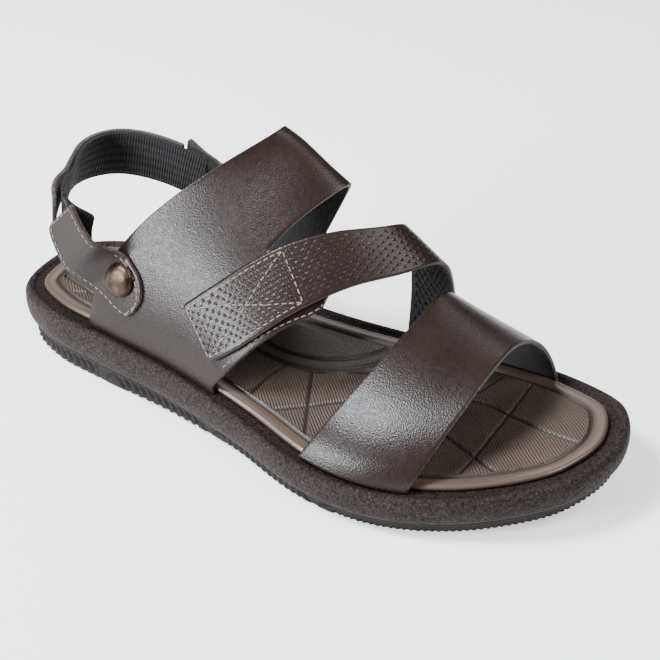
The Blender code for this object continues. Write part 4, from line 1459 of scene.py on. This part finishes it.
def make_tab(place):
    """Riveted tab of two leather layers, sewn round its edge."""
    low = sizes().leather + CLEARANCE
    layer = sizes().tab_leather / 2
    for name, lift, node in (
        ("heel_tab_lining_" + place.side, low, None),
        ("heel_tab_leather_" + place.side, low + layer, "heel_tab_" + place.side),
    ):
        grid = tab_grid(place, lift)
        item = leather_sheet(name, [grid], layer - 0.05 * MM, strap_finishes(), 0.25 * MM)
        seat(item, "strap_leather", *([node] if node else []))
    inset = 2.0 * MM
    shares = np.linspace(0.0, 1.0, 200)
    rows = along_rows(TAB_ROWS, shares)
    width = np.maximum((rows[:, 1] - rows[:, 2]) * sizes().tab_width, 1e-4)
    runs = []
    for upper in (False, True):
        share = inset / width
        keep = (share < 0.36) & (shares < 0.985)
        cross = 1 - share if upper else share
        line = tab_points(place, shares[keep], cross[keep], low + 2 * layer - 0.05 * MM)
        outward = np.tile([1.0 if place.side == "outer" else -1.0, 0.0, 0.0], (len(line), 1))
        runs += stitch_run(line, outward)
    across = np.linspace(0.16, 0.84, 20)
    for share in (0.075, 0.945):
        line = tab_points(place, np.full(20, share), across, low + 2 * layer - 0.05 * MM)
        outward = np.tile([1.0 if place.side == "outer" else -1.0, 0.0, 0.0], (20, 1))
        runs += stitch_run(line, outward)
    make_stitches("tab_stitches_" + place.side, runs, "strap_leather")


def make_rivet(place):
    """Domed cap on a thin washer, with a flat head inside."""
    radius = sizes().rivet_radius / MM
    grip = (sizes().leather + sizes().tab_leather) / MM + 4 * 0.3
    profile = [
        (0.0, grip + 2.4), (0.22, grip + 2.38), (0.42, grip + 2.27), (0.60, grip + 2.05),
        (0.75, grip + 1.70), (0.86, grip + 1.25), (0.93, grip + 0.85), (0.955, grip + 0.6),
        (0.95, grip + 0.42), (0.99, grip + 0.36), (1.0, grip + 0.2), (0.99, grip),
        (0.34, grip - 0.1), (0.34, -0.25), (0.58, -0.3), (0.62, -0.55), (0.58, -1.0), (0.0, -1.15),
    ]
    around = 64
    centre, normal = rivet_centre(place)
    side = unit(np.cross(normal, [0.0, 0.0, 1.0]))
    up = np.cross(side, normal)
    points = []
    for share, height in profile:
        turns = 1 if share == 0.0 else around
        for step in range(turns):
            angle = 2 * math.pi * step / around
            reach = share * radius * MM
            spoke = side * math.cos(angle) + up * math.sin(angle)
            points.append(centre + normal * height * MM + spoke * reach)
    faces = [[0, 1 + step, 1 + (step + 1) % around] for step in range(around)]
    rows = len(profile) - 2
    for row in range(rows - 1):
        for step in range(around):
            a = 1 + row * around + step
            b = 1 + row * around + (step + 1) % around
            faces.append([a, a + around, b + around, b])
    tail = len(points) - 1
    last_ring = 1 + (rows - 1) * around
    faces += [[tail, last_ring + (step + 1) % around, last_ring + step] for step in range(around)]
    item = build_mesh("rivet_cap_" + place.side, np.array(points) - middle(), faces,
                      [bronze_finish()])
    mesh = bmesh.new()
    mesh.from_mesh(item.data)
    bmesh.ops.recalc_face_normals(mesh, faces=mesh.faces)
    mesh.to_mesh(item.data)
    mesh.free()
    seat(item, "rivet_bronze", "rivet_" + place.side)


# Stage


def area_light(name, place, aim, size, energy, tint=(1.0, 1.0, 1.0)):
    light = bpy.data.lights.new(name, "AREA")
    light.shape = "RECTANGLE"
    light.size, light.size_y = size
    light.energy = energy
    light.color = tint
    item = bpy.data.objects.new(name, light)
    item.location = place
    item.rotation_mode = "QUATERNION"
    item.rotation_quaternion = (Vector(aim) - Vector(place)).to_track_quat("-Z", "Y")
    bpy.context.scene.collection.objects.link(item)


CAMERA_AZIMUTH = math.radians(120.7)
CAMERA_ELEVATION = math.radians(35.5)
CAMERA_DISTANCE = 0.620
CAMERA_TARGET = (-0.0143, 0.149, 0.030)
CAMERA_LENS = 76.36


def make_stage():
    """Pale floor, soft studio lights and the photo's camera."""
    mesh = bpy.data.meshes.new("studio_floor")
    half = 6.0
    mesh.from_pydata([(-half, -half, 0), (half, -half, 0), (half, half, 0), (-half, half, 0)], [],
                     [(0, 1, 2, 3)])
    mesh.materials.append(floor_finish())
    floor = bpy.data.objects.new("studio_floor", mesh)
    bpy.context.scene.collection.objects.link(floor)
    world = bpy.data.worlds.new("studio")
    world.use_nodes = True
    sky = world.node_tree.nodes["Background"]
    sky.inputs["Color"].default_value = (1.0, 1.0, 1.0, 1.0)
    sky.inputs["Strength"].default_value = 0.13
    bpy.context.scene.world = world
    aim = (0.0, 0.0, 0.03)
    area_light("key_light", (0.42, -0.52, 1.12), aim, (0.34, 0.26), 34.0, (0.90, 0.95, 1.0))
    area_light("side_light", (1.06, -0.66, 0.46), aim, (0.46, 0.28), 31.0, (0.90, 0.95, 1.0))
    area_light("top_light", (-0.1, 0.9, 1.25), aim, (0.8, 0.8), 17.0)
    area_light("back_light", (-0.9, -0.5, 0.9), aim, (0.8, 0.5), 4.0, (0.95, 0.97, 1.0))
    target = Vector(CAMERA_TARGET) - Vector(middle())
    back = Vector((
        math.sin(CAMERA_AZIMUTH) * math.cos(CAMERA_ELEVATION),
        -math.cos(CAMERA_AZIMUTH) * math.cos(CAMERA_ELEVATION),
        math.sin(CAMERA_ELEVATION),
    ))
    camera = bpy.data.cameras.new("camera")
    camera.lens = CAMERA_LENS
    camera.sensor_width = 36.0
    camera.clip_start = 0.01
    item = bpy.data.objects.new("camera", camera)
    item.location = target + back * CAMERA_DISTANCE
    item.rotation_mode = "QUATERNION"
    item.rotation_quaternion = (-back).to_track_quat("-Z", "Y")
    bpy.context.scene.collection.objects.link(item)
    bpy.context.scene.camera = item


# Operators


class SANDAL_OT_stage(bpy.types.Operator):
    """Adds the floor, the lights and the camera"""

    bl_idname = "sandal.stage"
    bl_label = "Stage"

    def execute(self, context):
        make_stage()
        return {"FINISHED"}


class SANDAL_OT_outsole(bpy.types.Operator):
    """Builds the rubber outsole"""

    bl_idname = "sandal.outsole"
    bl_label = "Outsole"

    def execute(self, context):
        make_outsole()
        return {"FINISHED"}


class SANDAL_OT_midsole(bpy.types.Operator):
    """Builds the foam midsole"""

    bl_idname = "sandal.midsole"
    bl_label = "Midsole"

    def execute(self, context):
        make_midsole()
        return {"FINISHED"}


class SANDAL_OT_footbed(bpy.types.Operator):
    """Builds the moulded footbed"""

    bl_idname = "sandal.footbed"
    bl_label = "Footbed"

    def execute(self, context):
        make_footbed()
        return {"FINISHED"}


class SANDAL_OT_front_strap(bpy.types.Operator):
    """Builds the leather strap over the toes"""

    bl_idname = "sandal.front_strap"
    bl_label = "Front strap"

    def execute(self, context):
        make_front_strap()
        return {"FINISHED"}


class SANDAL_OT_instep(bpy.types.Operator):
    """Builds the instep band, the closure strap, its patch and their stitches"""

    bl_idname = "sandal.instep"
    bl_label = "Instep straps"

    def execute(self, context):
        make_instep_band()
        make_fork_stitches()
        make_closure_strap()
        make_hook_patch()
        make_closure_stitches()
        return {"FINISHED"}


class SANDAL_OT_heel_strap(bpy.types.Operator):
    """Builds the woven heel strap and its leather"""

    bl_idname = "sandal.heel_strap"
    bl_label = "Heel strap"

    def execute(self, context):
        make_webbing()
        make_heel_leather()
        return {"FINISHED"}


class SANDAL_OT_tabs(bpy.types.Operator):
    """Builds the riveted tabs, their stitches and the rivets"""

    bl_idname = "sandal.tabs"
    bl_label = "Tabs and rivets"

    def execute(self, context):
        for place in RIVETS:
            make_tab(place)
            make_rivet(place)
        return {"FINISHED"}


OPERATORS = (
    SANDAL_OT_stage,
    SANDAL_OT_outsole,
    SANDAL_OT_midsole,
    SANDAL_OT_footbed,
    SANDAL_OT_front_strap,
    SANDAL_OT_instep,
    SANDAL_OT_heel_strap,
    SANDAL_OT_tabs,
)


class SANDAL_PT_panel(bpy.types.Panel):
    """Lists the sandal's pieces, sizes and colours"""

    bl_idname = "SANDAL_PT_panel"
    bl_label = "Flat sandal"
    bl_space_type = "VIEW_3D"
    bl_region_type = "UI"
    bl_category = "Sandal"

    def draw(self, context):
        layout = self.layout
        for operator in OPERATORS:
            layout.operator(operator.bl_idname)
        for group in (context.scene.sandal_sizes, context.scene.sandal_colours):
            box = layout.box()
            for name in group.__annotations__:
                box.prop(group, name)


CLASSES = (SandalSizes, SandalColours, *OPERATORS, SANDAL_PT_panel)


def register():
    for item in CLASSES:
        bpy.utils.register_class(item)
    bpy.types.Scene.sandal_sizes = PointerProperty(type=SandalSizes)
    bpy.types.Scene.sandal_colours = PointerProperty(type=SandalColours)


def unregister():
    del bpy.types.Scene.sandal_colours
    del bpy.types.Scene.sandal_sizes
    for item in reversed(CLASSES):
        bpy.utils.unregister_class(item)


def main():
    register()
    bpy.ops.sandal.stage()
    bpy.ops.sandal.outsole()
    bpy.ops.sandal.midsole()
    bpy.ops.sandal.footbed()
    bpy.ops.sandal.front_strap()
    bpy.ops.sandal.instep()
    bpy.ops.sandal.heel_strap()
    bpy.ops.sandal.tabs()


if __name__ == "__main__":
    main()
